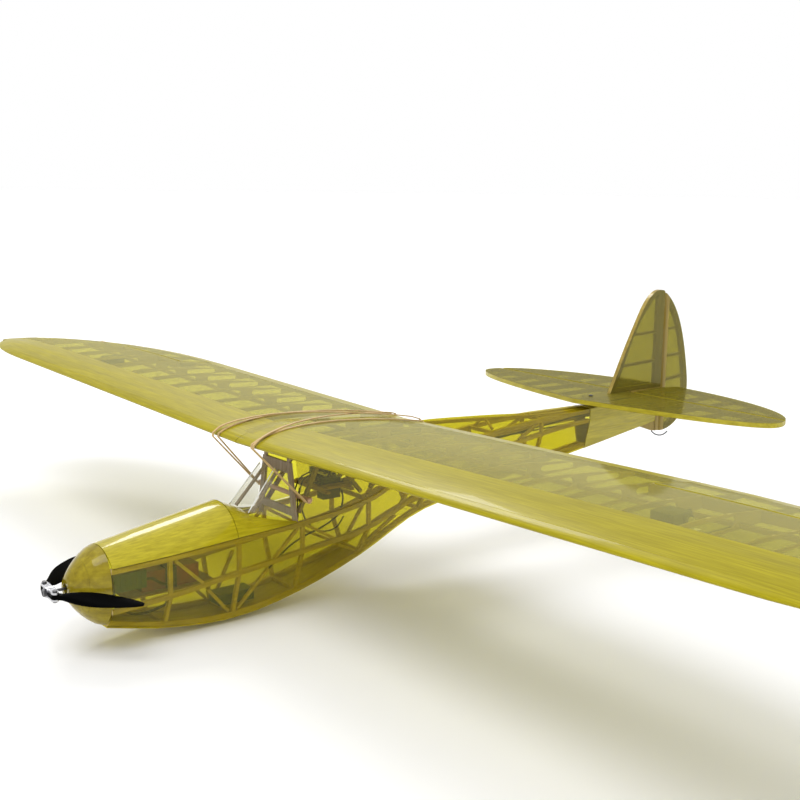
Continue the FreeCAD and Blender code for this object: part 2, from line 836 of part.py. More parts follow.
def firewall():
    """The ply bulkhead that carries the motor, cut to clear the planked ring."""
    import Sketcher
    body = doc.addObject("PartDesign::Body", "Firewall")
    plane = [f for f in body.Origin.OriginFeatures if f.Role == "XZ_Plane"][0]
    sketch = body.newObject("Sketcher::SketchObject", "FirewallOutline")
    sketch.AttachmentSupport = [(plane, "")]
    sketch.MapMode = "FlatFace"
    wide, top, low = 23.0, -101.0, -147.0
    corners = [V(-wide, low + 10), V(-wide + 10, low), V(wide - 10, low), V(wide, low + 10),
               V(wide, top - 8), V(wide - 9, top), V(-wide + 9, top), V(-wide, top - 8)]
    for index, corner in enumerate(corners):
        sketch.addGeometry(Part.LineSegment(corner, corners[(index + 1) % len(corners)]), False)
    for index in range(len(corners)):
        sketch.addConstraint(Sketcher.Constraint("Coincident", index, 2, (index + 1) % len(corners), 1))
    sketch.addGeometry(Part.Circle(V(0, dim("hub_level")), V(0, 0, 1), 4.0), False)
    sketch.AttachmentOffset = FreeCAD.Placement(V(0, 0, 161.0), FreeCAD.Rotation())
    pad = body.newObject("PartDesign::Pad", "FirewallPly")
    pad.Profile = sketch
    pad.setExpression("Length", "Dimensions.ply")
    doc.recompute()
    register(body, "firewall")


def deck_arc(y, grow=0.0):
    """The arched deck's cross-section curve at one place."""
    wide = station_value("width", y) - grow
    edge = station_value("upper", y) + 0.6
    top = station_value("ridge", y) - grow
    return V(-wide, y, edge), V(0, y, top), V(wide, y, edge)


def deck_section(y, top, thickness=2.5):
    """An arched shell section with a given crown level."""
    outer = deck_arc(y)
    inner = deck_arc(y, thickness)
    crown = V(0, y, top)
    inner_crown = V(0, y, top - thickness)
    a = Part.Arc(outer[0], crown, outer[2]).toShape()
    b = Part.Arc(inner[2], inner_crown, inner[0]).toShape()
    return Part.Wire([a, Part.makeLine(outer[2], inner[2]), b, Part.makeLine(inner[0], outer[0])])


def crown(y):
    """Crown level of the nose deck: a straight rise, then a fall to the windscreen."""
    if y <= -20.0:
        return -84.0 + 24.0 * (y + 157.0) / 137.0
    return -60.0 - 13.0 * (y + 20.0) / 24.0 if y < 4.0 else -73.0 - 8.0 * (y - 4.0) / 50.0


def hatch():
    """The lift-off hatch shell with the two magnets glued under its back edge."""
    shell = loft([deck_section(y, crown(y)) for y in (-156.4, -127.0, -97.0, -60.0, -22.4)])
    level = crown(-26.0) - 7.2
    magnets = [rod(V(x, -26.0, level), V(x, -23.5, level), 2.5) for x in (-12.0, 12.0)]
    feature("nose_hatch", [shell] + magnets)


def rear_deck():
    """The fixed deck between the hatch and the windscreen, swept back along both sides."""
    shell = loft([deck_section(y, crown(y)) for y in (-21.6, -10.0, 3.0, 28.0, 50.0)])
    notch = [V(-20, 3, -120), V(20, 3, -120), V(40.6, 55, -120), V(-40.6, 55, -120)]
    feature("rear_deck", shell.cut(prism(notch, V(0, 0, 80))))


# ---------------------------------------------------------------- cabin

SCREEN_BASE = (20.0, 3.4, -73.0)
SCREEN_TOP = (15.0, 39.0, -31.0)
LEG_TOP = (27.0, 50.0, -29.0)
LEG_BASE = (38.5, 52.0, -85.0)


def thin_quad(points, thickness):
    """A flat transparent pane, thickened along its own normal."""
    normal = (points[1].sub(points[0])).cross(points[2].sub(points[0])).normalize()
    return prism(points, normal * thickness)


def windscreen():
    """A creased clear pane: a middle face and two side faces."""
    base, top, leg_top, leg = V(*SCREEN_BASE), V(*SCREEN_TOP), V(*LEG_TOP), V(*LEG_BASE)
    middle = thin_quad([V(-base.x, base.y, base.z), base, top, V(-top.x, top.y, top.z)], 0.5)
    first = V(base.x + 0.4, base.y + 0.3, base.z)
    last = V(top.x + 0.4, top.y + 0.3, top.z)
    side = Part.Face(Part.makePolygon([first, V(leg.x - 0.4, 49.0, leg.z + 1.0),
                                       V(leg_top.x - 0.6, 46.8, leg_top.z - 2.0),
                                       first])).extrude(V(0.5, -0.2, 0.2))
    upper = Part.Face(Part.makePolygon([first, V(leg_top.x - 0.6, 46.8, leg_top.z - 2.0), last,
                                        first])).extrude(V(0.5, -0.2, 0.2))
    pane = side.fuse(upper).removeSplitter()
    feature("windscreen", [middle] + both(pane))


def portal_former():
    """The ply doorway frame under the wing's front: two legs, a head bar and a low crossbar."""
    y0, thick = 50.0, dim("ply")
    legs = [V(LEG_TOP[0] - 7, y0, -25), V(LEG_TOP[0], y0, -25), V(LEG_BASE[0] + 0.5, y0, -91.5),
            V(LEG_BASE[0] - 7, y0, -91.5)]
    leg = prism(legs, V(0, thick, 0))
    head = block(-LEG_TOP[0] + 7.05, LEG_TOP[0] - 7.05, y0, y0 + thick, -37.0, -25.0)
    bar = block(-31.0, 31.0, y0, y0 + thick, -82.0, -74.0)
    frame = head.fuse(both(leg)).fuse(bar)
    for name in longeron_solids()[:2]:
        frame = frame.cut(name)
    return frame.removeSplitter()


def cabin_struts():
    """Sloping ply struts behind the windscreen's creases and the braces under the saddle."""
    size = dim("brace")
    pieces = [stick(V(17.0, 9.5, -74.0), V(12.5, 44.0, -33.5), size, 2.0)]
    pieces.append(stick(V(32.0, 57.5, -79.0), V(23.5, 95.0, -19.0), size, size))
    pieces.append(stick(V(31.5, 140.0, -68.0), V(22.5, 103.0, -19.0), size, size))
    pieces.append(stick(V(30.5, 154.0, -66.0), V(20.5, 184.0, -19.0), size, size))
    pieces.append(stick(V(25.5, 228.0, -46.0), V(19.5, 195.0, -19.0), size, size))
    return trimmed(both(pieces))


def saddle_rails():
    """The two rails that the wing sits on, from the portal back to the ridge."""
    outer = [V(25.4, 50.0, -14.5), V(25.4, 50.0, -8.0), V(19.4, 50.0, -8.0), V(19.4, 50.0, -14.5)]
    rear = [V(20.4, 236.0, -14.5), V(20.4, 236.0, -8.0), V(14.4, 236.0, -8.0), V(14.4, 236.0, -14.5)]
    rail = loft([Part.makePolygon(points + [points[0]]) for points in (outer, rear)])
    pillar = block(20.5, 25.0, 50.2, 52.8, -24.9, -14.6)
    return both([rail, pillar])


def saddle_bridge():
    """The rear cross former that closes the saddle and carries the back dowel."""
    y = dim("waist_aft") + 1.0
    return prism([V(-25, y, -42), V(25, y, -42), V(1.5, y, -8.5), V(-1.5, y, -8.5)], V(0, 2.5, 0))


def cabin_frame():
    feature("cabin_frame", [portal_former(), saddle_bridge()] + cabin_struts() + saddle_rails())


# ---------------------------------------------------------------- wing fixing

FRONT_DOWEL = (60.0, -62.0)
BACK_DOWEL = (247.0, -24.0)
DOWEL_HALF = (50.0, 38.0)


def dowels():
    pieces = []
    for (y, z), half in zip((FRONT_DOWEL, BACK_DOWEL), DOWEL_HALF):
        cylinder = doc.addObject("Part::Cylinder", "Dowel")
        cylinder.Radius = 2.5
        cylinder.Height = 2 * half
        cylinder.Placement = FreeCAD.Placement(V(-half, y, z), FreeCAD.Rotation(V(0, 1, 0), 90))
        pieces.append(cylinder)
    group = doc.addObject("Part::Compound", "WingDowels")
    group.Links = pieces
    register(group, "wing_dowels")


def wing_top_level(x, y):
    """The wing's raised upper surface at a place."""
    return surface_z(abs(x), y, True) + abs(x) * math.tan(math.radians(dim("dihedral")))


def hook(centre, towards, side, x):
    """Half a turn round a dowel, ending where the strand leaves it."""
    y, z = centre
    along = V(0, towards[0] - y, towards[1] - z).normalize()
    across = V(0, -along.z * side, along.y * side)
    radius = 3.3
    points = []
    for step in range(9):
        angle = math.pi * (1.0 - step / 8)
        points.append(V(x, y, z) + across * (radius * math.cos(angle)) - along * (radius * math.sin(angle)))
    return points


def band_route(front, back, gap):
    """The way of one strand: front dowel, wing nose, top, trailing edge and back dowel.

    Each of front and back holds the strand's place on the dowel and on the wing's edge.
    """
    off = 0.9 + gap
    nose = abs(front[1]) * math.sin(math.radians(dim("dihedral")))
    tail = wing_top_level(back[1], dim("chord") - 1.0)
    points = hook(FRONT_DOWEL, (-off - 0.3, nose - 1.5), 1.0, front[0])
    points.append(V(front[1], -off - 0.3, nose - 1.5))
    points.append(V(front[1], -off + 0.2, nose + 2.4))
    for y in (2.2, 6.0, 12.0, 22.0, 40.0, 60.0, 85.0, 110.0, 135.0, 160.0, 185.0, 205.0, 220.0):
        x = front[1] + (back[1] - front[1]) * y / dim("chord")
        points.append(V(x, y, wing_top_level(x, y) + off))
    points.append(V(back[1], dim("chord") + off * 0.8, tail + 0.4 + off * 0.3))
    points += hook(BACK_DOWEL, (dim("chord") + off, tail + off * 0.3), -1.0, back[0])[::-1]
    return points


def ribbon(points, half_width, half_depth):
    """A solid strip that follows a path, built from flat triangles."""
    rings = []
    for index, point in enumerate(points):
        ahead = points[min(index + 1, len(points) - 1)].sub(point)
        behind = point.sub(points[max(index - 1, 0)])
        run = V(0, 0, 0)
        for part in (ahead, behind):
            if part.Length > 1e-6:
                run = run + part * (1.0 / part.Length)
        run = run.normalize()
        side = (V(1, 0, 0) - run * run.x).normalize()
        up = side.cross(run)
        rings.append([point + side * (half_width * a) + up * (half_depth * b)
                      for a, b in ((-1, -1), (1, -1), (1, 1), (-1, 1))])
    faces = []
    for first, second in zip(rings, rings[1:]):
        for k in range(4):
            n = (k + 1) % 4
            for corners in ((first[k], first[n], second[n]), (first[k], second[n], second[k])):
                faces.append(Part.Face(Part.makePolygon(list(corners) + [corners[0]])))
    for ring in (rings[0], rings[-1]):
        for corners in ((ring[0], ring[1], ring[2]), (ring[0], ring[2], ring[3])):
            faces.append(Part.Face(Part.makePolygon(list(corners) + [corners[0]])))
    shell = Part.makeShell(faces)
    shell.sewShape()
    solid = Part.makeSolid(shell)
    if solid.Volume < 0:
        solid.reverse()
    return solid


def rubber_bands():
    """Two straight strands and two crossing ones, each lying clear over the one before."""
    strands = []
    for front, back, gap in (((44.7, 34.0), (35.3, 30.0), 0.0), ((-44.7, -34.0), (-35.3, -30.0), 0.0),
                             ((48.1, 40.0), (-31.6, -22.0), 1.7), ((-48.1, -40.0), (31.6, 22.0), 3.4)):
        strands.append(ribbon(band_route(front, back, gap), 1.4, 0.6))
    feature("rubber_bands", strands)


# ---------------------------------------------------------------- motor and propeller

def motor():
    """The motor's can, a turned body bolted to the front of the firewall."""
    body = doc.addObject("PartDesign::Body", "Motor")
    plane = [f for f in body.Origin.OriginFeatures if f.Role == "YZ_Plane"][0]
    sketch = body.newObject("Sketcher::SketchObject", "MotorProfile")
    sketch.AttachmentSupport = [(plane, "")]
    sketch.MapMode = "FlatFace"
    level = dim("hub_level")
    outline = [(-184.0, 1.62), (-184.0, 8.0), (-181.0, 12.0), (-169.0, 12.0), (-167.0, 9.0),
               (-164.2, 9.0), (-164.2, 1.62)]
    corners = [V(y, level + r, 0) for y, r in outline]
    for index, corner in enumerate(corners):
        sketch.addGeometry(Part.LineSegment(corner, corners[(index + 1) % len(corners)]), False)
    sketch.AttachmentOffset = FreeCAD.Placement()
    revolution = body.newObject("PartDesign::Revolution", "MotorCan")
    revolution.Profile = sketch
    line = body.newObject("PartDesign::Line", "ShaftLine")
    line.AttachmentSupport = [([f for f in body.Origin.OriginFeatures if f.Role == "Y_Axis"][0], "")]
    line.MapMode = "TwoPointLine"
    line.MapMode = "Deactivated"
    line.Placement = FreeCAD.Placement(V(0, 0, level), FreeCAD.Rotation(V(0, 0, 1), V(0, 1, 0)))
    revolution.ReferenceAxis = (line, [""])
    revolution.Angle = 360.0
    doc.recompute()
    register(body, "motor")


def blade_section(t, chord, thickness, pitch):
    """A blade's section across its length: a flat-bottomed sliver set at its pitch."""
    points = []
    for a, b in ((-0.5, 0.0), (-0.3, 0.85), (0.0, 1.0), (0.3, 0.6), (0.5, 0.0)):
        x, y = a * chord, b * thickness
        c, s = math.cos(pitch), math.sin(pitch)
        points.append(V(x * c - y * s, x * s + y * c, t))
    top = curve(points)
    return Part.Wire([top, Part.makeLine(points[-1], points[0])])


def fold_blade():
    """A port blade drawn pointing out along +X, then folded back about its pin."""
    length = dim("blade_length")
    rows = ((8.0, 7.0, 3.4, 60), (20.0, 12.0, 2.8, 48), (38.0, 16.5, 2.2, 34), (58.0, 15.5, 1.8, 25),
            (76.0, 11.0, 1.4, 20), (length - 1.0, 4.0, 0.9, 18))
    airfoil = loft([blade_section(t, c, h, math.radians(p)) for t, c, h, p in rows], False)
    airfoil.rotate(V(0, 0, 0), V(0, 1, 0), 90)
    airfoil.rotate(V(0, 0, 0), V(1, 0, 0), 90)
    root = Part.makeCylinder(3.6, 5.0, V(0, 0, -2.5), V(0, 0, 1))
    root = root.fuse(block(0, 9.0, -2.6, 2.6, -2.5, 2.5))
    blade = root.fuse(airfoil)
    return blade.cut(Part.makeCylinder(1.3, 8.0, V(0, 0, -4), V(0, 0, 1))).removeSplitter()


def place_blade(shape, side):
    """Put a blade on its pin, folded back along the nose and rolled with the hub."""
    shape = shape.copy()
    shape.rotate(V(0, 0, 0), V(0, 0, 1), 90.0 - dim("blade_fold"))
    shape.translate(V(dim("pin_radius"), 0, 0))
    if side < 0:
        shape.rotate(V(0, 0, 0), V(0, 1, 0), 180.0)
    shape.rotate(V(0, 0, 0), V(0, 1, 0), dim("hub_roll"))
    shape.translate(V(0, dim("hub_aft"), dim("hub_level")))
    return shape


def to_hub(shape):
    """Carry a hub piece drawn about the origin onto the shaft line."""
    shape = shape.copy()
    shape.rotate(V(0, 0, 0), V(0, 1, 0), dim("hub_roll"))
    shape.translate(V(0, dim("hub_aft"), dim("hub_level")))
    return shape


def propeller():
    pin = dim("pin_radius")
    shape = fold_blade()
    feature("blade_port", place_blade(shape, 1))
    feature("blade_starboard", place_blade(shape, -1))
    centre = Part.makeCylinder(5.2, 9.0, V(0, -4.5, 0), V(0, 1, 0))
    yoke = centre
    for z0, z1 in ((2.6, 4.6), (-4.6, -2.6)):
        yoke = yoke.fuse(block(-pin, pin, -3.6, 3.6, z0, z1))
        for x in (-pin, pin):
            yoke = yoke.fuse(Part.makeCylinder(3.6, z1 - z0, V(x, 0, z0), V(0, 0, 1)))
    yoke = yoke.cut(Part.makeCylinder(1.6, 20.0, V(0, -10, 0), V(0, 1, 0)))
    for x in (-pin, pin):
        yoke = yoke.cut(Part.makeCylinder(1.25, 12.0, V(x, 0, -6), V(0, 0, 1)))
    feature("propeller_yoke", to_hub(yoke.removeSplitter()))
    screws = []
    for x in (-pin, pin):
        screw = Part.makeCylinder(1.2, 9.4, V(x, 0, -4.7), V(0, 0, 1))
        screw = screw.fuse(Part.makeCylinder(2.3, 1.6, V(x, 0, 4.65), V(0, 0, 1)))
        screws.append(to_hub(screw.fuse(Part.makeCylinder(2.2, 1.4, V(x, 0, -6.05), V(0, 0, 1)))))
    shaft = Part.makeCylinder(1.55, 40.0, V(0, -6.5, 0), V(0, 1, 0))
    hexagon = [V(3.9 * math.cos(math.radians(60 * i)), -6.9, 3.9 * math.sin(math.radians(60 * i)))
               for i in range(6)]
    nut = prism(hexagon, V(0, 2.3, 0)).cut(Part.makeCylinder(1.6, 12, V(0, -12, 0), V(0, 1, 0)))
    feature("propeller_hardware", screws + [to_hub(shaft), to_hub(nut)])


# ---------------------------------------------------------------- equipment

def equipment_box(label, size, place):
    """A plain boxed unit; its sizes stand on the box itself."""
    obj = doc.addObject("Part::Box", "Case")
    obj.Length, obj.Width, obj.Height = size
    group = doc.addObject("Part::Compound", label)
    obj.Placement = FreeCAD.Placement(V(*place), FreeCAD.Rotation())
    group.Links = [obj]
    return register(group, label)


def equipment():
    equipment_box("battery", (30.0, 64.0, 20.0), (-15.0, -118.0, -137.3))
    equipment_box("speed_controller", (8.0, 34.0, 18.0), (21.0, -153.0, -127.0))
    equipment_box("receiver", (22.0, 42.0, 12.0), (-11.0, -28.0, -172.0))
    strap = block(-17.0, 17.0, -92.0, -80.0, -139.7 - 1.2, -115.5)
    strap = strap.cut(block(-15.4, 15.4, -93.0, -79.0, -139.55, -117.1))
    strap = strap.cut(block(-22.5, 22.5, -140, -30, -139.6, -137.4))
    feature("battery_strap", strap)


TRAY_LEVEL = -58.0
RUDDER_ARM = (10.3, 106.5, TRAY_LEVEL + 9.1)
ELEVATOR_ARM = (-2.9, 126.0, -52.0)


def equipment_trays():
    """The battery's tray in the nose, and the servo tray on its two bearers."""
    battery_tray = block(-22.0, 22.0, -137.0, -37.0, -139.5, -137.5)
    tray = block(-27.0, 27.0, 92.0, 138.0, TRAY_LEVEL - 3.0, TRAY_LEVEL)
    tray = tray.cut(block(4.0, 16.6, 100.0, 124.0, -70, -50))
    tray = tray.cut(block(-4.5, 2.8, 90.0, 139.0, -70, -50))
    bearers = [block(-33.5, 33.5, y, y + 5.0, TRAY_LEVEL - 6.2, TRAY_LEVEL - 3.05) for y in (93.0, 125.0)]
    bearers = [b.cut(block(-5.0, 3.0, 90.0, 139.0, -70, -50)) for b in bearers]
    feature("equipment_trays", [battery_tray] + tray.Solids + bearers[0].Solids + bearers[1].Solids)


def servo_case(height):
    """A small servo standing on its lugs: case, lugs and output boss, about the boss's axis."""
    case = block(-6.0, 6.0, -6.0, 17.0, -height, 0.0)
    lugs = block(-6.0, 6.0, -10.5, 21.5, -5.95, -4.4)
    boss = Part.makeCylinder(4.8, 3.0)
    return case.fuse(lugs).fuse(boss)


def arm_blade():
    """A control arm drawn along +X from its hub at the origin, with its pin hole."""
    radius = dim("arm_radius")
    arm = Part.makeCylinder(3.0, 1.6)
    arm = arm.fuse(prism([V(0, -2.6, 0), V(radius, -1.9, 0), V(radius, 1.9, 0), V(0, 2.6, 0)],
                         V(0, 0, 1.6)))
    arm = arm.fuse(Part.makeCylinder(1.9, 1.6, V(radius, 0, 0)))
    return arm.cut(Part.makeCylinder(dim("wire_radius") + 0.08, 4.0, V(radius, 0, -1))).removeSplitter()


def pushrod(start, end, pin_axis, pin_start, pin_end):
    """A straight wire with a pin turned up at each end to lie in an arm's or a horn's hole."""
    run = end.sub(start).normalize()
    wire = rod(start - run * 1.3, end + run * 1.3, dim("rod_radius"))
    for point, length in ((start, pin_start), (end, pin_end)):
        wire = wire.fuse(rod(point, point + pin_axis * length, dim("wire_radius")))
    return wire.removeSplitter()


def rudder_control():
    """Upright servo in the tray, its arm out to starboard, and the rod back to the rudder horn."""
    x, y, z = RUDDER_ARM
    servo = servo_case(23.0)
    servo.translate(V(x, y, z - 3.1))
    arm = arm_blade()
    arm.rotate(V(0, 0, 0), V(0, 0, 1), 180)
    arm.translate(V(x, y, z))
    feature("rudder_arm", arm)
    reach, axis = dim("arm_radius"), dim("rudder_axis")
    start = V(x - reach, y, z + 3.0)
    end = V(-reach, axis, RUDDER_HORN_LEVEL + 3.0)
    feature("rudder_pushrod", pushrod(start, end, V(0, 0, -1), 3.9, 3.9))
    return servo


def elevator_control():
    """Servo lying on the tray, its arm hanging down, and the rod back to the joiner's horn."""
    x, y, z = ELEVATOR_ARM
    servo = servo_case(18.0)
    servo.rotate(V(0, 0, 0), V(0, 0, 1), 180)
    servo.rotate(V(0, 0, 0), V(0, 1, 0), 90)
    servo.translate(V(x - 3.1, y, z))
    arm = arm_blade()
    arm.rotate(V(0, 0, 0), V(0, 1, 0), 90)
    arm.translate(V(x, y, z))
    feature("elevator_arm", arm)
    reach = dim("arm_radius")
    start = V(x + 3.1, y, z - reach)
    end = V(2.4, dim("elevator_axis"), dim("tail_level") - reach)
    feature("elevator_pushrod", pushrod(start, end, V(-1, 0, 0), 3.9, 4.1))
    return servo


AILERON_ARM = (512.1, 99.0, 5.2)
RUDDER_HORN_LEVEL = -41.0


def arm_slot():
    """The slot in the wing's bottom covering that the aileron arm swings through."""
    x, y, _ = AILERON_ARM
    return block(x - 1.4, x + 5.4, y - 8.0, y + 8.0, -9.0, 0.0)


def aileron_horn():
    """A plate under the aileron whose pin hole lies straight below the hinge line."""
    x = AILERON_ARM[0]
    axis_y, level = dim("hinge_aft"), aileron_axis_z() - dim("arm_radius")
    root = surface_z(x, axis_y + 6.0, False) - 0.1
    plate = prism([V(x, axis_y + 4.5, root), V(x, axis_y + 14.0, root + 0.2),
                   V(x, axis_y + 1.5, level - 1.6),
                   V(x, axis_y - 1.9, level)], V(1.6, 0, 0))
    plate = plate.fuse(rod(V(x, axis_y, level), V(x + 1.6, axis_y, level), 1.9))
    return plate.cut(rod(V(x - 2, axis_y, level), V(x + 4, axis_y, level), dim("wire_radius") + 0.08))


def aileron_controls():
    """One servo in each wing bay, its arm through the underside, and the rod to the horn."""
    x, y, z = AILERON_ARM
    servo = servo_case(22.0)
    servo.rotate(V(0, 0, 0), V(0, 0, 1), 180)
    servo.rotate(V(0, 0, 0), V(0, 1, 0), 90)
    servo.translate(V(x - 3.1, y, z))
    arm = arm_blade()
    arm.rotate(V(0, 0, 0), V(0, 1, 0), 90)
    arm.translate(V(x, y, z))
    wing_pair("aileron_arm", [arm])
    reach = dim("arm_radius")
    start = V(x + 3.1, y, z - reach)
    end = V(x + 3.1, dim("hinge_aft"), aileron_axis_z() - reach)
    wing_pair("aileron_pushrod", [pushrod(start, end, V(-1, 0, 0), 3.6, 3.6)])
    return both(raise_panel(servo))


def controls():
    """Every servo with its arm and rod; the four cases share one node."""
    feature("servos", [rudder_control(), elevator_control()] + aileron_controls())


# ---------------------------------------------------------------- tail surfaces

def tail_outline(grow=0.0):
    """The tailplane's plan: two superellipse halves that meet at rounded tips."""
    half = dim("tail_half_span") - grow
    middle = dim("tail_tip_aft")
    front, rear = [], []
    steps = 14
    for i in range(-steps, steps + 1):
        u = math.sin(math.pi / 2 * i / steps)
        x = half * u
        front.append(V(x, middle - (dim("tail_front") - grow) * (1.0 - abs(u)) ** 0.469, 0))
        rear.append(V(x, middle + (dim("tail_rear") - grow) * math.sqrt(1.0 - abs(u) ** 1.853), 0))
    nose = len(front) // 2
    first = curve(front[:nose + 1])
    second = curve(front[nose:])
    back = curve(rear[::-1])
    return Part.Wire([first, second, back])


def flat_solid(wire, z0, z1):
    """A plate of a planar outline between two levels."""
    return Part.Face(wire).extrude(V(0, 0, z1 - z0)).translated(V(0, 0, z0))


def tail_levels():
    middle, half = dim("tail_level"), dim("tail_thickness") / 2
    return middle - half, middle + half


SCREW_AFT = 541.0


def tailplane():
    low, high = tail_levels()
    skin = 0.3
    whole = flat_solid(tail_outline(), low + skin, high - skin)
    hollow = flat_solid(tail_outline(dim("rim_width")), low - 1, high + 1)
    axis = dim("elevator_axis")
    hinge_back = axis - 2.6
    fixed = block(-300, 300, 400, hinge_back, -40, 40)
    spar = block(-300, 300, hinge_back - 8.0, hinge_back, low + skin, high - skin)
    rim = whole.cut(hollow).common(fixed)
    spar_piece = spar.common(whole)
    rim = rim.cut(spar)
    ribs = []
    for k in range(-5, 6):
        x = 43.0 * k
        bar = block(x - 1.5, x + 1.5, 400, hinge_back - 8.05, low + skin, high - skin).common(hollow)
        ribs += bar.Solids
    seat = block(-12.0, -1.6, 536.0, hinge_back - 8.05, low + skin, high - skin).common(hollow)
    ribs += both(seat.Solids)
    hole = rod(V(0, SCREW_AFT, -40), V(0, SCREW_AFT, 40), 1.5)
    ribs = [piece.cut(hole) for piece in ribs]
    feature("tailplane_frame", rim.Solids + spar_piece.Solids + ribs)
    skins = []
    for z0 in (low, high - skin + 0.02):
        skins.append(flat_solid(tail_outline(), z0, z0 + skin - 0.02).common(fixed).cut(hole))
    feature("tailplane_film", skins)


ELEVATOR_ROOT = 11.0


def elevator():
    low, high = tail_levels()
    skin = 0.3
    axis = dim("elevator_axis")
    front = axis + 2.4
    whole = flat_solid(tail_outline(), low + skin, high - skin)
    hollow = flat_solid(tail_outline(dim("rim_width")), low - 1, high + 1)
    inner = [(ELEVATOR_ROOT, front), (5.8, 672.0), (22.0, 720.0)]
    root = [V(x, y, -40) for x, y in inner] + [V(300, 720, -40), V(300, front, -40)]
    zone = prism(root, V(0, 0, 80))
    edge = [V(x, y, low + skin) for x, y in inner] + [V(x + 4.0, y, low + skin) for x, y in inner[::-1]]
    root_rib = prism(edge, V(0, 0, high - low - 2 * skin)).common(whole)
    strip = block(ELEVATOR_ROOT + 4.05, 300, front, front + 8.0, low + skin, high - skin).common(whole)
    rim = whole.cut(hollow).common(zone).cut(root_rib).cut(strip)
    joiner = elevator_joiner()
    pieces = rim.Solids + root_rib.Solids + strip.cut(joiner).Solids
    for k in range(1, 6):
        x = 43.0 * k
        bar = block(x - 1.5, x + 1.5, front + 8.05, 720, low + skin, high - skin).common(hollow)
        pieces += bar.Solids
    feature("elevator_frame", both(pieces))
    skins = []
    for z0 in (low, high - skin + 0.02):
        skins.append(flat_solid(tail_outline(), z0, z0 + skin - 0.02).common(zone))
    feature("elevator_film", both(skins))
    feature("elevator_joiner", joiner)


def elevator_joiner():
    """The torque rod on the hinge line, with its two bent legs and the horn in the middle."""
    axis, level = dim("elevator_axis"), dim("tail_level")
    bar = rod(V(-26, axis, level), V(26, axis, level), 1.25)
    for x in (-26.0, 26.0):
        bar = bar.fuse(rod(V(x, axis, level), V(x, axis + 9.0, level), 1.25))
        bar = bar.fuse(Part.makeSphere(1.25, V(x, axis, level)))
    pin = level - dim("arm_radius")
    horn = block(-1.0, 1.0, axis - 1.3, axis + 1.3, pin, level)
    horn = horn.fuse(block(-1.0, 1.0, axis - 2.4, axis + 2.4, pin - 2.4, pin + 2.4))
    horn = horn.cut(rod(V(-3, axis, pin), V(3, axis, pin), dim("wire_radius") + 0.08))
    return bar.fuse(horn)


def fin_outline(grow=0.0):
    """The fin's side outline: swept leading edge into a rounded top, square at the hinge."""
    back = dim("rudder_axis") - 1.5
    base = dim("tail_level") + dim("tail_thickness") / 2 + 0.05
    points = [V(0, 576.0 + grow * 1.9, base + grow), V(0, 600 + grow, 43), V(0, 629 + grow, 95),
              V(0, 648 + grow * 0.8, 121 - grow),
              V(0, 663, 130 - grow), V(0, back - grow * 0.5, 129 - grow)]
    edges = [curve(points), Part.makeLine(points[-1], V(0, back - grow * 0.5, base + grow)),
             Part.makeLine(V(0, back - grow * 0.5, base + grow), points[0])]
    return Part.Wire(edges)


def upright_solid(wire, x0, x1):
    """A plate of an upright outline between two widths."""
    return Part.Face(wire).extrude(V(x1 - x0, 0, 0)).translated(V(x0, 0, 0))


def fin():
    half, skin = dim("fin_thickness") / 2, 0.3
    whole = upright_solid(fin_outline(), -half + skin, half - skin)
    hollow = upright_solid(fin_outline(6.0), -half - 1, half + 1)
    rim = whole.cut(hollow)
    post = block(-half + skin, half - skin, 665.0, dim("rudder_axis") - 1.5, -60, 200).common(whole)
    pieces = rim.cut(post).Solids + post.Solids
    for rear_z, front_z in ((74.0, 70.0), (34.0, 29.0)):
        bar = prism([V(-half + skin, 560, front_z - 2), V(-half + skin, 664.9, rear_z - 2),
                     V(-half + skin, 664.9, rear_z + 1), V(-half + skin, 560,
                                                           front_z + 1)], V(2 * half - 2 * skin, 0, 0))
        pieces += bar.common(hollow).Solids
    feature("fin_frame", pieces)
    skins = [upright_solid(fin_outline(), half - skin + 0.02, half)]
    feature("fin_film", both(skins))


def rudder_points(grow=0.0):
    """The rudder's outline behind its hinge, from the top round to the heel."""
    front = dim("rudder_axis") + 0.6
    return [V(0, front + grow, 127.0 - grow * 1.6), V(0, 699 - grow, 110), V(0, 712 - grow, 89),
            V(0, 725 - grow, 54), V(0, 733.5 - grow, 18), V(0, 736.8 - grow, -12),
            V(0, 731 - grow, -38), V(0, 716 - grow * 0.5, -56 + grow),
            V(0, 697, -65 + grow), V(0, front + grow, -67.0 + grow)]


def rudder_outline(grow=0.0):
    points = rudder_points(grow)
    return Part.Wire([curve(points), Part.makeLine(points[-1], points[0])])


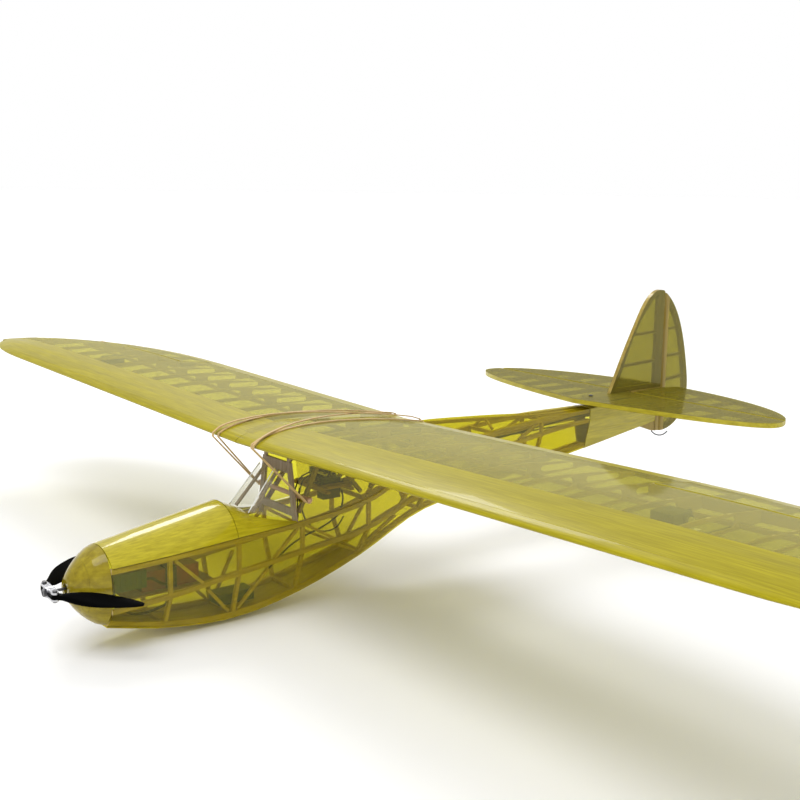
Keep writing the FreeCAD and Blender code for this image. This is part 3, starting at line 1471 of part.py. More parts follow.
def rudder():
    half, skin = dim("fin_thickness") / 2, 0.3
    axis = dim("rudder_axis")
    whole = upright_solid(rudder_outline(), -half, half)
    hollow = upright_solid(rudder_outline(8.0), -half - 1, half + 1)
    bevel = both(prism([V(half + 1, axis - 1, -80), V(0.3, axis - 1, -80), V(0.3, axis + 0.5, -80),
                        V(half + 1, axis + 3.6, -80)], V(0, 0, 240)))
    strip = block(-half, half, axis, axis + 9.0, -80, 200).common(whole)
    rim = whole.cut(hollow).cut(block(-9, 9, axis, axis + 9.05, -80, 200))
    for cutter in bevel:
        strip = strip.cut(cutter)
    thin = block(-half + skin, half - skin, axis, 800, -90, 200)
    pieces = strip.Solids + rim.common(thin).Solids
    for front_z, rear_z in ((76.0, 77.0), (38.0, 40.0), (4.0, 9.0), (-36.0, -33.0)):
        bar = prism([V(-half + skin, axis + 9.1, front_z - 1.5), V(-half + skin, 745, rear_z - 1.5),
                     V(-half + skin, 745, rear_z + 1.5), V(-half + skin, axis + 9.1, front_z + 1.5)],
                    V(2 * half - 2 * skin, 0, 0))
        pieces += bar.common(hollow).Solids
    feature("rudder_frame", pieces)
    feature("rudder_horn", rudder_horn())
    film = upright_solid(rudder_outline(), half - skin + 0.02,
                         half).common(block(0, 9, axis + 9.05, 800, -90, 200))
    feature("rudder_film", both(film))


def rudder_horn():
    """A plate on the rudder's starboard side, its pin hole square out from the hinge line."""
    axis, reach, z = dim("rudder_axis"), dim("arm_radius"), RUDDER_HORN_LEVEL
    plate = prism([V(-3.05, axis + 4.2, z), V(-3.05, axis + 13.0, z), V(-reach, axis + 1.9, z),
                   V(-reach - 1.9, axis, z), V(-reach, axis - 1.9, z)], V(0, 0, 1.6))
    return plate.cut(rod(V(-reach, axis, z - 2), V(-reach, axis, z + 4), dim("wire_radius") + 0.08))


def tail_cone():
    """The sheeted stern: a hollow six-sided shell from the last station to the sternpost."""
    def section(y, shrink):
        w, s = station_value("width", y) - shrink, station_value("sole", y) - shrink * 0.6
        top = min(station_value("ridge", y), tail_levels()[0] - 0.1) - shrink
        up, mid, low = (station_value("upper", y) - shrink, station_value("middle", y),
                        station_value("floor", y) + shrink)
        up = min(up, top - 0.4)
        points = [V(0.0, y, top), V(w, y, up), V(w, y, mid), V(s, y, low), V(-s, y, low), V(-w, y, mid),
                  V(-w, y, up)]
        return Part.makePolygon(points + [points[0]])
    places = [525.4, 560.0, 600.0, 640.0, 671.0]
    shell = loft([section(y, 0.0) for y in places])
    inner_places = [525.0, 560.0, 600.0, 640.0, 660.0]
    shell = shell.cut(loft([section(y, 1.5) for y in inner_places]))
    axis = dim("elevator_axis")
    shell = shell.cut(block(-2.2, 2.2, axis - 9, axis + 9, -24, 0))
    shell = shell.cut(block(-18, -4, 545, 668, -42.0, -35.4))
    feature("tail_cone", shell)


def sternpost():
    """The upright post that the rudder hangs on, and the faired heel block in front of it."""
    post = block(-3.0, 3.0, 671.4, dim("rudder_axis") - 1.5, -66.0, tail_levels()[0] - 0.1)
    heel = prism([V(-2.5, 640, station_value("floor", 640.0) - 0.4),
                  V(-2.5, 671.0, station_value("floor", 671.0) - 0.4), V(-2.5, 671.0, -66.0),
                  V(-2.5, 664, -65.0)], V(5.0, 0, 0))
    filler = block(-3.0, 3.0, dim("elevator_axis") + 6.0, dim("rudder_axis") - 1.5,
                   tail_levels()[0], tail_levels()[1])
    feature("sternpost", [post, heel, filler])


def tail_skid():
    """A bent wire skid under the heel."""
    path = [V(0, 668.0, -66.6), V(0, 673.0, -70.5), V(0, 684.0, -74.5), V(0, 696.0, -74.0),
            V(0, 702.0, -71.0)]
    wire = curve(path)
    start = wire.valueAt(wire.FirstParameter)
    circle = Part.Wire([Part.makeCircle(0.9, start, wire.tangentAt(wire.FirstParameter))])
    return Part.Wire([wire]).makePipeShell([circle], True, True)


def tail_fittings():
    level = tail_levels()[1]
    head = Part.makeCylinder(2.6, 1.4, V(0, SCREW_AFT, level + 0.05), V(0, 0, 1))
    shank = Part.makeCylinder(1.4, 6.05, V(0, SCREW_AFT, level - 6.0), V(0, 0, 1))
    feature("tail_fittings", [tail_skid(), head.fuse(shank)])


# ---------------------------------------------------------------- wiring

def wire_run(points, radius):
    """A wire along points with round corners between straight runs."""
    path = []
    last = points[0]
    for index in range(1, len(points) - 1):
        a, b, c = points[index - 1], points[index], points[index + 1]
        u, w = (a - b).normalize(), (c - b).normalize()
        turn = math.pi - u.getAngle(w)
        cut = 0.45 * min((a - b).Length, (c - b).Length)
        p, q = b + u * cut, b + w * cut
        bulge = (u + w).normalize()
        arc_radius = cut / math.tan(turn / 2)
        centre = b + bulge * (arc_radius / math.cos(turn / 2))
        middle = centre - bulge * arc_radius
        path.append(Part.LineSegment(last, p).toShape())
        path.append(Part.Arc(p, middle, q).toShape())
        last = q
    path.append(Part.LineSegment(last, points[-1]).toShape())
    spine = Part.Wire(path)
    circle = Part.Wire([Part.makeCircle(radius, points[0], points[1] - points[0])])
    return spine.makePipeShell([circle], True, False)


# Leads by the places that they pass, each with its radius: the servo lead to the receiver, the
# pack's lead, the slack loop below the tray, and the loops that hang in the cabin.
LEADS = (
    (1.0, [V(10.0, 129.6, -69.0), V(11.0, 131.0, -80.0), V(15.0, 124.0, -95.0), V(13.0, 102.0, -107.0),
           V(4.0, 82.0, -116.0), V(-2.0, 66.0, -127.0), V(-1.0, 48.0, -140.0), V(3.0, 30.0, -152.0),
           V(4.0, 16.0, -160.0)]),
    (1.5, [V(25.0, -118.8, -120.0), V(24.0, -110.0, -121.0), V(20.0, -103.0, -127.0),
           V(20.5, -94.0, -132.0), V(19.8, -84.0, -130.0)]),
    (1.4, [V(24.0, -152.0, -128.6), V(24.0, -146.0, -143.0), V(17.0, -132.0, -156.0),
           V(9.0, -110.0, -162.0), V(8.0, -86.0, -157.0), V(15.0, -92.0, -149.0),
           V(20.0, -112.0, -147.0), V(17.0, -128.0, -150.0)]),
    (0.8, [V(-15.2, 103.6, -50.0), V(-15.2, 90.0, -54.0), V(-12.0, 79.0, -72.0), V(-6.0, 76.0, -92.0),
           V(6.0, 73.0, -97.0), V(15.0, 68.0, -88.0), V(17.0, 66.0, -70.0), V(12.0, 72.0, -58.0)]),
    (0.8, [V(-8.0, 103.6, -50.0), V(-8.0, 90.0, -54.0), V(-3.0, 80.0, -72.0), V(6.0, 84.0, -100.0),
           V(14.0, 98.0, -112.0), V(19.0, 116.0, -110.0), V(16.0, 128.0, -98.0)]),
)


def wiring():
    feature("wiring", [wire_run(points, radius) for radius, points in LEADS])


STEPS = (
    wing_nose_strips, wing_sheeting, wing_film, wing_trailing_edges, wing_spars, wing_ribs, ailerons,
    longerons, side_film, back_film, braces, belly_sheet, belly_skid, nose_shells, firewall, hatch,
    rear_deck, windscreen, cabin_frame, dowels, rubber_bands, motor, propeller, equipment,
    equipment_trays, wiring, tailplane, elevator, fin, rudder, tail_cone, sternpost, tail_fittings,
    controls,
)


def check_and_export():
    """Stop on any failed object or bad shape, then write one STEP file per sub-part."""
    doc.recompute()
    for obj in doc.Objects:
        if "Invalid" in obj.State or "Error" in obj.State:
            raise RuntimeError("failed object: " + obj.Label)
    os.makedirs("parts", exist_ok=True)
    for obj in SUBPARTS:
        shape = obj.Shape
        if shape.isNull() or not shape.isValid():
            raise RuntimeError("bad shape: " + obj.Label)
        shape.exportStep("parts/" + obj.Label + ".step")
        box = shape.BoundBox
        print("%-26s %2d solids %10.1f mm3  x %.1f..%.1f y %.1f..%.1f z %.1f..%.1f" % (
            obj.Label, len(shape.Solids), shape.Volume, box.XMin, box.XMax, box.YMin, box.YMax,
            box.ZMin, box.ZMax))


for step in STEPS:
    step()
check_and_export()
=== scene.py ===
import math

import bpy
from mathutils import Matrix, Vector


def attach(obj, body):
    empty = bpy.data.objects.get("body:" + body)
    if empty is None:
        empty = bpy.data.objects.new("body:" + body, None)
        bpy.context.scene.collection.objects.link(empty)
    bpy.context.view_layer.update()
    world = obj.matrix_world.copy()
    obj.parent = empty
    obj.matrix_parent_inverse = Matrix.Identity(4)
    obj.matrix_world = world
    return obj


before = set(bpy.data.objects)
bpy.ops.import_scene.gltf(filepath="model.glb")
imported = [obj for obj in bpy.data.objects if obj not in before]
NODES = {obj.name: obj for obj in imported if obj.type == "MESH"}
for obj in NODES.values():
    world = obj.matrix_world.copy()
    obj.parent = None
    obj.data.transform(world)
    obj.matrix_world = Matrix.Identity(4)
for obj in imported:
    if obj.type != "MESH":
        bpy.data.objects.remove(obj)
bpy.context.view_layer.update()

# The CAD's own dimensions, in millimetres and degrees, that the fine pieces need.
DATUM_AFT = 261.85
DATUM_DOWN = 185.5
CHORD = 226.8
SECTION_THICKNESS = 0.08
SECTION_CAMBER = 0.027
CAMBER_AT = 0.4
DIHEDRAL = math.radians(1.4)
RIB_PITCH = 43.0
HINGE_LEVEL = 4.6
RIB_HALF = 1.45


# ---------------------------------------------------------------- material tools

def shader_tree(name):
    """A new material, its node tree and its output node."""
    material = bpy.data.materials.new(name)
    material.use_nodes = True
    tree = material.node_tree
    tree.nodes.clear()
    output = tree.nodes.new("ShaderNodeOutputMaterial")
    return material, tree, output


def stretched(tree, scale):
    """The row-frame position, scaled differently along each axis."""
    place = tree.nodes.new("ShaderNodeTexCoord")
    mapping = tree.nodes.new("ShaderNodeMapping")
    mapping.inputs["Scale"].default_value = scale
    tree.links.new(place.outputs["Object"], mapping.inputs["Vector"])
    return mapping.outputs["Vector"]


def noise(tree, vector, scale, detail=4.0, rough=0.55):
    """A noise value between 0 and 1."""
    node = tree.nodes.new("ShaderNodeTexNoise")
    node.inputs["Scale"].default_value = scale
    node.inputs["Detail"].default_value = detail
    node.inputs["Roughness"].default_value = rough
    tree.links.new(vector, node.inputs["Vector"])
    return node.outputs["Fac"]


def ramp(tree, value, stops):
    """Colours along a value; each stop is (position, colour)."""
    node = tree.nodes.new("ShaderNodeValToRGB")
    band = node.color_ramp
    while len(band.elements) < len(stops):
        band.elements.new(0.5)
    for element, (position, colour) in zip(band.elements, stops):
        element.position = position
        element.color = (*colour, 1.0)
    tree.links.new(value, node.inputs["Fac"])
    return node.outputs["Color"]


def spread(tree, value, low, high):
    """A noise value stretched from its middle to the range low..high."""
    node = tree.nodes.new("ShaderNodeMapRange")
    node.inputs["From Min"].default_value = 0.3
    node.inputs["From Max"].default_value = 0.7
    node.inputs["To Min"].default_value = low
    node.inputs["To Max"].default_value = high
    tree.links.new(value, node.inputs["Value"])
    return node.outputs["Result"]


def bump(tree, height, strength, distance):
    """A bumped normal."""
    node = tree.nodes.new("ShaderNodeBump")
    node.inputs["Strength"].default_value = strength
    node.inputs["Distance"].default_value = distance
    tree.links.new(height, node.inputs["Height"])
    return node.outputs["Normal"]


def calculate(tree, operation, first, second):
    """One arithmetic step on two values or sockets."""
    node = tree.nodes.new("ShaderNodeMath")
    node.operation = operation
    for socket, value in zip(node.inputs, (first, second)):
        if isinstance(value, (int, float)):
            socket.default_value = value
        else:
            tree.links.new(value, socket)
    return node.outputs["Value"]


def principled(tree, output):
    """The main shader, wired to the output."""
    shader = tree.nodes.new("ShaderNodeBsdfPrincipled")
    tree.links.new(shader.outputs["BSDF"], output.inputs["Surface"])
    return shader


# ---------------------------------------------------------------- materials

def wood(name, dark, light, along, rough, coat=0.0, streak=420.0, wave=0.25):
    """Grained wood; along is the grain's axis, 0 for X, 1 for Y and 2 for Z."""
    material, tree, output = shader_tree(name)
    shader = principled(tree, output)
    scale = [streak] * 3
    scale[along] = streak * 0.03
    fine = noise(tree, stretched(tree, scale), 1.0, 5.0, 0.62)
    scale = [streak * 0.12] * 3
    scale[along] = streak * 0.006
    broad = noise(tree, stretched(tree, scale), 1.0, 3.0)
    narrow_share = calculate(tree, "MULTIPLY", fine, 0.72)
    broad_share = calculate(tree, "MULTIPLY", broad, 0.28)
    both = calculate(tree, "ADD", narrow_share, broad_share)
    middle = [(a + b) / 2 for a, b in zip(dark, light)]
    colour = ramp(tree, both, [(0.36, dark), (0.5, middle), (0.62, light)])
    tree.links.new(colour, shader.inputs["Base Color"])
    tree.links.new(spread(tree, broad, rough - 0.06, rough + 0.06), shader.inputs["Roughness"])
    tree.links.new(bump(tree, fine, wave, 0.0002), shader.inputs["Normal"])
    shader.inputs["Specular IOR Level"].default_value = 0.15
    shader.inputs["Coat Weight"].default_value = coat
    shader.inputs["Coat Roughness"].default_value = 0.05
    shader.inputs["Specular Tint"].default_value = (1.0, 0.93, 0.5, 1.0)
    return material


def film(name, tint, body, haze, shine=0.9, ripple=0.08):
    """Thin glossy covering: it passes tinted light, holds a little haze and mirrors at a slant."""
    material, tree, output = shader_tree(name)
    clear = tree.nodes.new("ShaderNodeBsdfTransparent")
    clear.inputs["Color"].default_value = (*tint, 1.0)
    milk = tree.nodes.new("ShaderNodeBsdfPrincipled")
    cloud = noise(tree, stretched(tree, (9.0, 9.0, 9.0)), 1.0, 3.0)
    clouded = ramp(tree, cloud, [(0.35, [c * 0.93 for c in body]), (0.65, body)])
    tree.links.new(clouded, milk.inputs["Base Color"])
    milk.inputs["Roughness"].default_value = 0.5
    gloss = tree.nodes.new("ShaderNodeBsdfGlossy")
    gloss.inputs["Color"].default_value = (1.0, 0.96, 0.66, 1.0)
    gloss.inputs["Roughness"].default_value = 0.09
    slack = noise(tree, stretched(tree, (22.0, 22.0, 22.0)), 1.0, 2.0)
    normal = bump(tree, slack, ripple, 0.004)
    tree.links.new(normal, gloss.inputs["Normal"])
    under = tree.nodes.new("ShaderNodeMixShader")
    under.inputs["Fac"].default_value = haze
    tree.links.new(clear.outputs["BSDF"], under.inputs[1])
    tree.links.new(milk.outputs["BSDF"], under.inputs[2])
    slant = tree.nodes.new("ShaderNodeLayerWeight")
    slant.inputs["Blend"].default_value = 0.5
    geometry = tree.nodes.new("ShaderNodeNewGeometry")
    outside = calculate(tree, "SUBTRACT", 1.0, geometry.outputs["Backfacing"])
    rise = calculate(tree, "POWER", slant.outputs["Facing"], 4.0)
    mirror = calculate(tree, "ADD", calculate(tree, "MULTIPLY", rise, shine), 0.045)
    mirror = calculate(tree, "MULTIPLY", mirror, outside)
    surface = tree.nodes.new("ShaderNodeMixShader")
    tree.links.new(mirror, surface.inputs["Fac"])
    tree.links.new(under.outputs["Shader"], surface.inputs[1])
    tree.links.new(gloss.outputs["BSDF"], surface.inputs[2])
    tree.links.new(surface.outputs["Shader"], output.inputs["Surface"])
    return material


def plain(name, colour, rough, metal=0.0, coat=0.0, grain=260.0, depth=0.12, mottle=0.15, shine=0.4):
    """Moulded, turned or wrapped material with faint mottling, uneven sheen and fine bump."""
    material, tree, output = shader_tree(name)
    shader = principled(tree, output)
    value = noise(tree, stretched(tree, (grain, grain, grain)), 1.0, 4.0)
    dark = [c * (1.0 - mottle) for c in colour]
    light = [min(c * (1.0 + mottle), 1.0) for c in colour]
    tree.links.new(ramp(tree, value, [(0.35, dark), (0.65, light)]), shader.inputs["Base Color"])
    tree.links.new(spread(tree, value, max(rough - 0.08, 0.03), rough + 0.08), shader.inputs["Roughness"])
    tree.links.new(bump(tree, value, depth, 0.0003), shader.inputs["Normal"])
    shader.inputs["Metallic"].default_value = metal
    shader.inputs["Specular IOR Level"].default_value = shine
    shader.inputs["Coat Weight"].default_value = coat
    return material


def woven(name, colour):
    """A woven strap: a fine checked weave in its colour and its surface."""
    material, tree, output = shader_tree(name)
    shader = principled(tree, output)
    check = tree.nodes.new("ShaderNodeTexChecker")
    check.inputs["Scale"].default_value = 900.0
    check.inputs["Color1"].default_value = (*colour, 1.0)
    check.inputs["Color2"].default_value = (*[c * 1.6 for c in colour], 1.0)
    tree.links.new(stretched(tree, (1.0, 1.0, 1.0)), check.inputs["Vector"])
    tree.links.new(check.outputs["Color"], shader.inputs["Base Color"])
    tree.links.new(bump(tree, check.outputs["Fac"], 0.3, 0.0003), shader.inputs["Normal"])
    shader.inputs["Roughness"].default_value = 0.85
    return material


SPANWISE, LENGTHWISE, UPRIGHT = 0, 1, 2
YELLOW_DARK, YELLOW_LIGHT = (0.35, 0.29, 0.008), (0.53, 0.45, 0.018)
SHEET_SPAN = wood("covered_sheet_span", dark=(0.29, 0.24, 0.004), light=(0.43, 0.365, 0.010),
                  along=SPANWISE, rough=0.38, coat=0.14, streak=700.0, wave=0.1)
SHEET_LONG = wood("covered_sheet_long", dark=YELLOW_DARK, light=YELLOW_LIGHT, along=LENGTHWISE,
                  rough=0.3, coat=0.55, streak=500.0, wave=0.06)
NOSE_WOOD = wood("covered_nose_block", dark=(0.21, 0.155, 0.006), light=(0.36, 0.285, 0.014),
                 along=LENGTHWISE, rough=0.3, coat=0.5, streak=160.0, wave=0.05)
FLOOR_WOOD = wood("covered_belly_sheet", dark=(0.52, 0.43, 0.02), light=(0.74, 0.63, 0.05),
                  along=LENGTHWISE, rough=0.4, coat=0.3, streak=240.0, wave=0.1)
RIM_WOOD = wood("covered_rim", dark=(0.34, 0.28, 0.02), light=(0.52, 0.44, 0.04), along=SPANWISE,
                rough=0.34, coat=0.22, streak=260.0, wave=0.12)
POST_WOOD = wood("covered_post", dark=(0.24, 0.165, 0.03), light=(0.42, 0.31, 0.07), along=UPRIGHT,
                 rough=0.38, coat=0.4, streak=260.0, wave=0.12)
STICK = wood("stick_wood", dark=(0.42, 0.32, 0.12), light=(0.72, 0.58, 0.26), along=LENGTHWISE,
             rough=0.55, streak=240.0)
RIB_WOOD = wood("rib_wood", dark=(0.46, 0.36, 0.18), light=(0.68, 0.57, 0.34), along=LENGTHWISE,
                rough=0.6, streak=240.0)
SPAR_WOOD = wood("spar_wood", dark=(0.36, 0.28, 0.12), light=(0.54, 0.44, 0.22), along=SPANWISE,
                 rough=0.6, streak=240.0)
PLY = wood("ply_wood", dark=(0.23, 0.175, 0.12), light=(0.38, 0.30, 0.22), along=UPRIGHT, rough=0.55,
           streak=260.0)
TRAY_PLY = wood("tray_ply", dark=(0.24, 0.15, 0.07), light=(0.40, 0.27, 0.14), along=LENGTHWISE,
                rough=0.55, streak=260.0)
DOWEL = wood("dowel_wood", dark=(0.42, 0.24, 0.16), light=(0.62, 0.40, 0.29), along=SPANWISE,
             rough=0.5, streak=260.0)
SKID = wood("skid_wood", dark=(0.52, 0.40, 0.24), light=(0.74, 0.62, 0.44), along=LENGTHWISE,
            rough=0.55, streak=260.0)

WING_FILM = film("wing_film", tint=(0.88, 0.86, 0.42), body=(0.50, 0.465, 0.14), haze=0.27,
                 shine=0.18)
BODY_FILM = film("body_film", tint=(0.85, 0.82, 0.22), body=(0.50, 0.46, 0.02), haze=0.06,
                 shine=0.14)
TAIL_FILM = film("tail_film", tint=(0.76, 0.73, 0.22), body=(0.36, 0.325, 0.05), haze=0.22,
                 shine=0.10)
SCREEN = film("clear_screen", tint=(0.97, 0.97, 0.95), body=(0.8, 0.8, 0.78), haze=0.03, shine=0.8,
              ripple=0.02)

# Near-white base colour: a painted highlight along the windscreen's folds; the glossy coat on it is real.
CREASE_HIGHLIGHT = plain("painted_crease_highlight", colour=(0.93, 0.93, 0.92), rough=0.1, coat=1.0, grain=200.0,
               depth=0.03, mottle=0.03)
TAPE = film("joint_tape", tint=(0.93, 0.90, 0.60), body=(0.50, 0.44, 0.10), haze=0.25, shine=0.5)
TAB = plain("hinge_tab", colour=(0.55, 0.42, 0.22), rough=0.6, grain=300.0, depth=0.1)
BLACK = plain("black_blade", colour=(0.0012, 0.0012, 0.0012), rough=0.5, grain=200.0, depth=0.04,
              mottle=0.2, shine=0.02)
SERVO = plain("servo_case", colour=(0.018, 0.018, 0.02), rough=0.35, coat=0.2, grain=300.0,
              depth=0.08, mottle=0.2)
ALUMINIUM = plain("turned_aluminium", colour=(0.55, 0.55, 0.57), rough=0.24, metal=1.0, grain=500.0,
                  depth=0.05, mottle=0.06)
STEEL = plain("dark_steel", colour=(0.12, 0.12, 0.125), rough=0.35, metal=1.0, grain=500.0,
              depth=0.06, mottle=0.2)
MOTOR = plain("motor_can", colour=(0.42, 0.42, 0.44), rough=0.3, metal=1.0, grain=300.0, depth=0.05,
              mottle=0.1)
BAND = plain("rubber_band", colour=(0.56, 0.39, 0.17), rough=0.55, grain=180.0, depth=0.15,
             mottle=0.12)
ARM_PLASTIC = plain("arm_plastic", colour=(0.70, 0.69, 0.64), rough=0.4, depth=0.05, mottle=0.05)
PACK = plain("pack_wrap", colour=(0.26, 0.035, 0.02), rough=0.4, coat=0.1, grain=120.0, depth=0.2,
             mottle=0.2)
CIRCUIT = plain("circuit_wrap", colour=(0.008, 0.06, 0.025), rough=0.4, coat=0.1, grain=120.0,
                depth=0.2, mottle=0.25)
LEAD = plain("lead_jacket", colour=(0.02, 0.018, 0.016), rough=0.45, grain=300.0, depth=0.06,
             mottle=0.2)
STRAP = woven("strap_weave", colour=(0.012, 0.014, 0.02))

FINISHES = {
    SHEET_SPAN: ["wing_leading_edge", "wing_sheeting", "wing_trailing_edge", "aileron_frame_port",
                 "aileron_frame_starboard"],
    SHEET_LONG: ["nose_hatch", "rear_deck", "tail_cone"],
    FLOOR_WOOD: ["belly_sheet"],
    NOSE_WOOD: ["nose_cap", "nose_ring"],
    RIM_WOOD: ["tailplane_frame", "elevator_frame"],
    POST_WOOD: ["fin_frame", "rudder_frame", "sternpost"],
    STICK: ["longerons", "frame_braces"],
    RIB_WOOD: ["wing_ribs"],
    SPAR_WOOD: ["wing_spars"],
    PLY: ["cabin_frame", "firewall"],
    TRAY_PLY: ["equipment_trays"],
    DOWEL: ["wing_dowels", "elevator_joiner"],
    SKID: ["belly_skid"],
    WING_FILM: ["wing_film", "aileron_film_port", "aileron_film_starboard"],
    BODY_FILM: ["fuselage_side_film", "back_and_belly_film"],
    TAIL_FILM: ["tailplane_film", "elevator_film", "fin_film", "rudder_film"],
    SCREEN: ["windscreen"],
    BLACK: ["blade_port", "blade_starboard"],
    SERVO: ["servos"],
    ALUMINIUM: ["propeller_yoke"],
    STEEL: ["propeller_hardware", "tail_fittings", "rudder_pushrod", "elevator_pushrod",
            "aileron_pushrod_port", "aileron_pushrod_starboard"],
    MOTOR: ["motor"],
    BAND: ["rubber_bands"],
    ARM_PLASTIC: ["aileron_horn_port", "aileron_horn_starboard", "rudder_horn", "rudder_arm",
                  "elevator_arm", "aileron_arm_port", "aileron_arm_starboard"],
    PACK: ["battery"],
    CIRCUIT: ["speed_controller", "receiver"],
    LEAD: ["wiring"],
    STRAP: ["battery_strap"],
}


def dress_frame():
    """Give every CAD node its procedural material."""
    for material, names in FINISHES.items():
        for name in names:
            for slot in NODES[name].material_slots:
                slot.material = material


# ---------------------------------------------------------------- fine pieces

def mesh_piece(name, vertices, faces, material, body, smooth=True):
    """A mesh in the row frame that rides on one CAD body."""
    mesh = bpy.data.meshes.new(name)
    mesh.from_pydata([tuple(v) for v in vertices], [], faces)
    mesh.update()
    mesh.materials.append(material)
    for polygon in mesh.polygons:
        polygon.use_smooth = smooth
    piece = bpy.data.objects.new(name, mesh)
    bpy.context.collection.objects.link(piece)
    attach(piece, body)
    return piece


def datum(x, y, z):
    """A point given in millimetres from the wing's leading edge on the centre line."""
    return Vector((x / 1000.0, (y - DATUM_AFT) / 1000.0, (z + DATUM_DOWN) / 1000.0))


def tube(points, radius, sides=10):
    """Vertices and faces of a round tube along points, closed at both ends."""
    vertices, faces = [], []
    side = None
    for index, point in enumerate(points):
        ahead = points[min(index + 1, len(points) - 1)] - points[max(index - 1, 0)]
        run = ahead.normalized()
        seed = side if side is not None else run.orthogonal()
        side = (seed - run * seed.dot(run)).normalized()
        other = run.cross(side)
        for k in range(sides):
            turn = 2 * math.pi * k / sides
            vertices.append(point + side * (radius * math.cos(turn)) + other * (radius * math.sin(turn)))
    for ring in range(len(points) - 1):
        for k in range(sides):
            a, b = ring * sides + k, ring * sides + (k + 1) % sides
            faces.append((a, b, b + sides, a + sides))
    last = (len(points) - 1) * sides
    faces.append(tuple(range(sides))[::-1])
    faces.append(tuple(range(last, last + sides)))
    return vertices, faces


def plate(outline, thickness):
    """Vertices and faces of a flat plate: an outline of points and a thickness vector."""
    count = len(outline)
    vertices = list(outline) + [point + thickness for point in outline]
    faces = [tuple(range(count))[::-1], tuple(range(count, 2 * count))]
    for k in range(count):
        n = (k + 1) % count
        faces.append((k, n, n + count, k + count))
    return vertices, faces


def joined(parts):
    """Several meshes as one list of vertices and one of faces."""
    vertices, faces = [], []
    for some_vertices, some_faces in parts:
        start = len(vertices)
        vertices += some_vertices
        faces += [tuple(i + start for i in face) for face in some_faces]
    return vertices, faces


def screen_crease_highlights():
    """Thin white tubes along the windscreen's folds, where its panes meet: the folds are real, and their
    white is a painted highlight standing in for the reflection along them.
    """
    steps = 8
    parts = []
    for side in (1, -1):
        low = datum(side * 20.1, 2.6, -73.0)
        high = datum(side * 15.1, 38.2, -30.6)
        parts.append(tube([low.lerp(high, k / steps) for k in range(steps + 1)], 0.0007, 8))
    mesh_piece("screen_crease_highlights", *joined(parts), CREASE_HIGHLIGHT, "airframe")


def dowel_end(side, y, z, half):
    """One rounded end: rings of (distance past the end, radius) round the dowel's axis."""
    sides = 16
    vertices, faces = [], []
    profile = ((-0.9, 2.52), (-0.3, 2.62), (0.3, 2.3), (0.8, 1.5), (1.0, 0.3))
    for out, radius in profile:
        centre = datum(side * (half + out), y, z)
        for k in range(sides):
            turn = 2 * math.pi * k / sides
            vertices.append(centre + Vector((0, math.cos(turn), math.sin(turn))) * (radius / 1000))
    for ring in range(len(profile) - 1):
        for k in range(sides):
            a, b = ring * sides + k, ring * sides + (k + 1) % sides
            faces.append((a, b, b + sides, a + sides) if side > 0 else (a, a + sides, b + sides, b))
    last = (len(profile) - 1) * sides
    cap = tuple(range(last, last + sides))
    faces.append(cap if side > 0 else cap[::-1])
    return vertices, faces


def dowel_ends():
    """The rounded ends of the front and the rear wing dowel."""
    parts = []
    for y, z, half in ((60.0, -62.0, 50.0), (247.0, -24.0, 38.0)):
        for side in (1, -1):
            parts.append(dowel_end(side, y, z, half))
    mesh_piece("dowel_ends", *joined(parts), DOWEL, "airframe")


def surface_height(y, upper):
    """Height of the straight part of the wing's surface, by the same section as the CAD's."""
    u = y / CHORD
    shape = 0.2969 * math.sqrt(u) - 0.126 * u - 0.3516 * u ** 2 + 0.2843 * u ** 3 - 0.1015 * u ** 4
    half = 5.0 * SECTION_THICKNESS * CHORD * shape
    rise = 2.0 * CAMBER_AT * u - u * u
    if u < CAMBER_AT:
        camber = rise / CAMBER_AT ** 2
    else:
        camber = (1.0 - 2.0 * CAMBER_AT + rise) / (1.0 - CAMBER_AT) ** 2
    middle = SECTION_CAMBER * CHORD * camber
    return middle + half if upper else middle - half


def wing_point(x, y, upper, lift):
    """A point on the raised wing panel, in the row frame."""
    z = surface_height(y, upper) + (lift if upper else -lift)
    raised_x = abs(x) * math.cos(DIHEDRAL) - z * math.sin(DIHEDRAL)
    raised_z = abs(x) * math.sin(DIHEDRAL) + z * math.cos(DIHEDRAL)
    return datum(math.copysign(raised_x, x), y, raised_z)


def wing_flat(x, y):
    """A point on the hinge's middle level in the raised panel."""
    raised_x = math.copysign(abs(x) * math.cos(DIHEDRAL), x)
    return datum(raised_x, y, abs(x) * math.sin(DIHEDRAL) + HINGE_LEVEL)


def centre_tape():
    """The clear tape that closes the covering over the joint of the two wing halves."""
    front, length, rows, lift = 4.0, 216.0, 16, 0.08
    across = (-9.0, -4.0, -0.6, 0.6, 4.0, 9.0)
    width = len(across)
    parts = []
    for upper in (True, False):
        vertices, faces = [], []
        for k in range(rows + 1):
            y = front + length * k / rows
            vertices += [wing_point(x, y, upper, lift) for x in across]
        for row in range(rows):
            for column in range(width - 1):
                a = row * width + column
                b = a + width
                faces.append((a, a + 1, b + 1, b) if upper else (a, b, b + 1, a + 1))
        parts.append((vertices, faces))
    mesh_piece("centre_tape", *joined(parts), TAPE, "airframe")


def hinge_tabs():
    """Thin hinge tabs let into the ailerons' and the elevator's hinge lines."""
    half, thickness = 5.0, Vector((0, 0, 0.0003))
    parts = []
    for side in (1, -1):
        for x in (450.0, 530.0, 610.0, 668.0):
            corners = ((x - half, 152.5), (x + half, 152.5), (x + half, 157.6), (x - half, 157.6))
            outline = [wing_flat(side * along, y) for along, y in corners]
            parts.append(plate(outline if side > 0 else outline[::-1], thickness))
    for x in (-200.0, -120.0, -50.0, 50.0, 120.0, 200.0):
        corners = ((x - half, 602.0), (x + half, 602.0), (x + half, 611.5), (x - half, 611.5))
        parts.append(plate([datum(along, y, -7.7) for along, y in corners], thickness))
    mesh_piece("hinge_tabs", *joined(parts), TAB, "airframe", False)


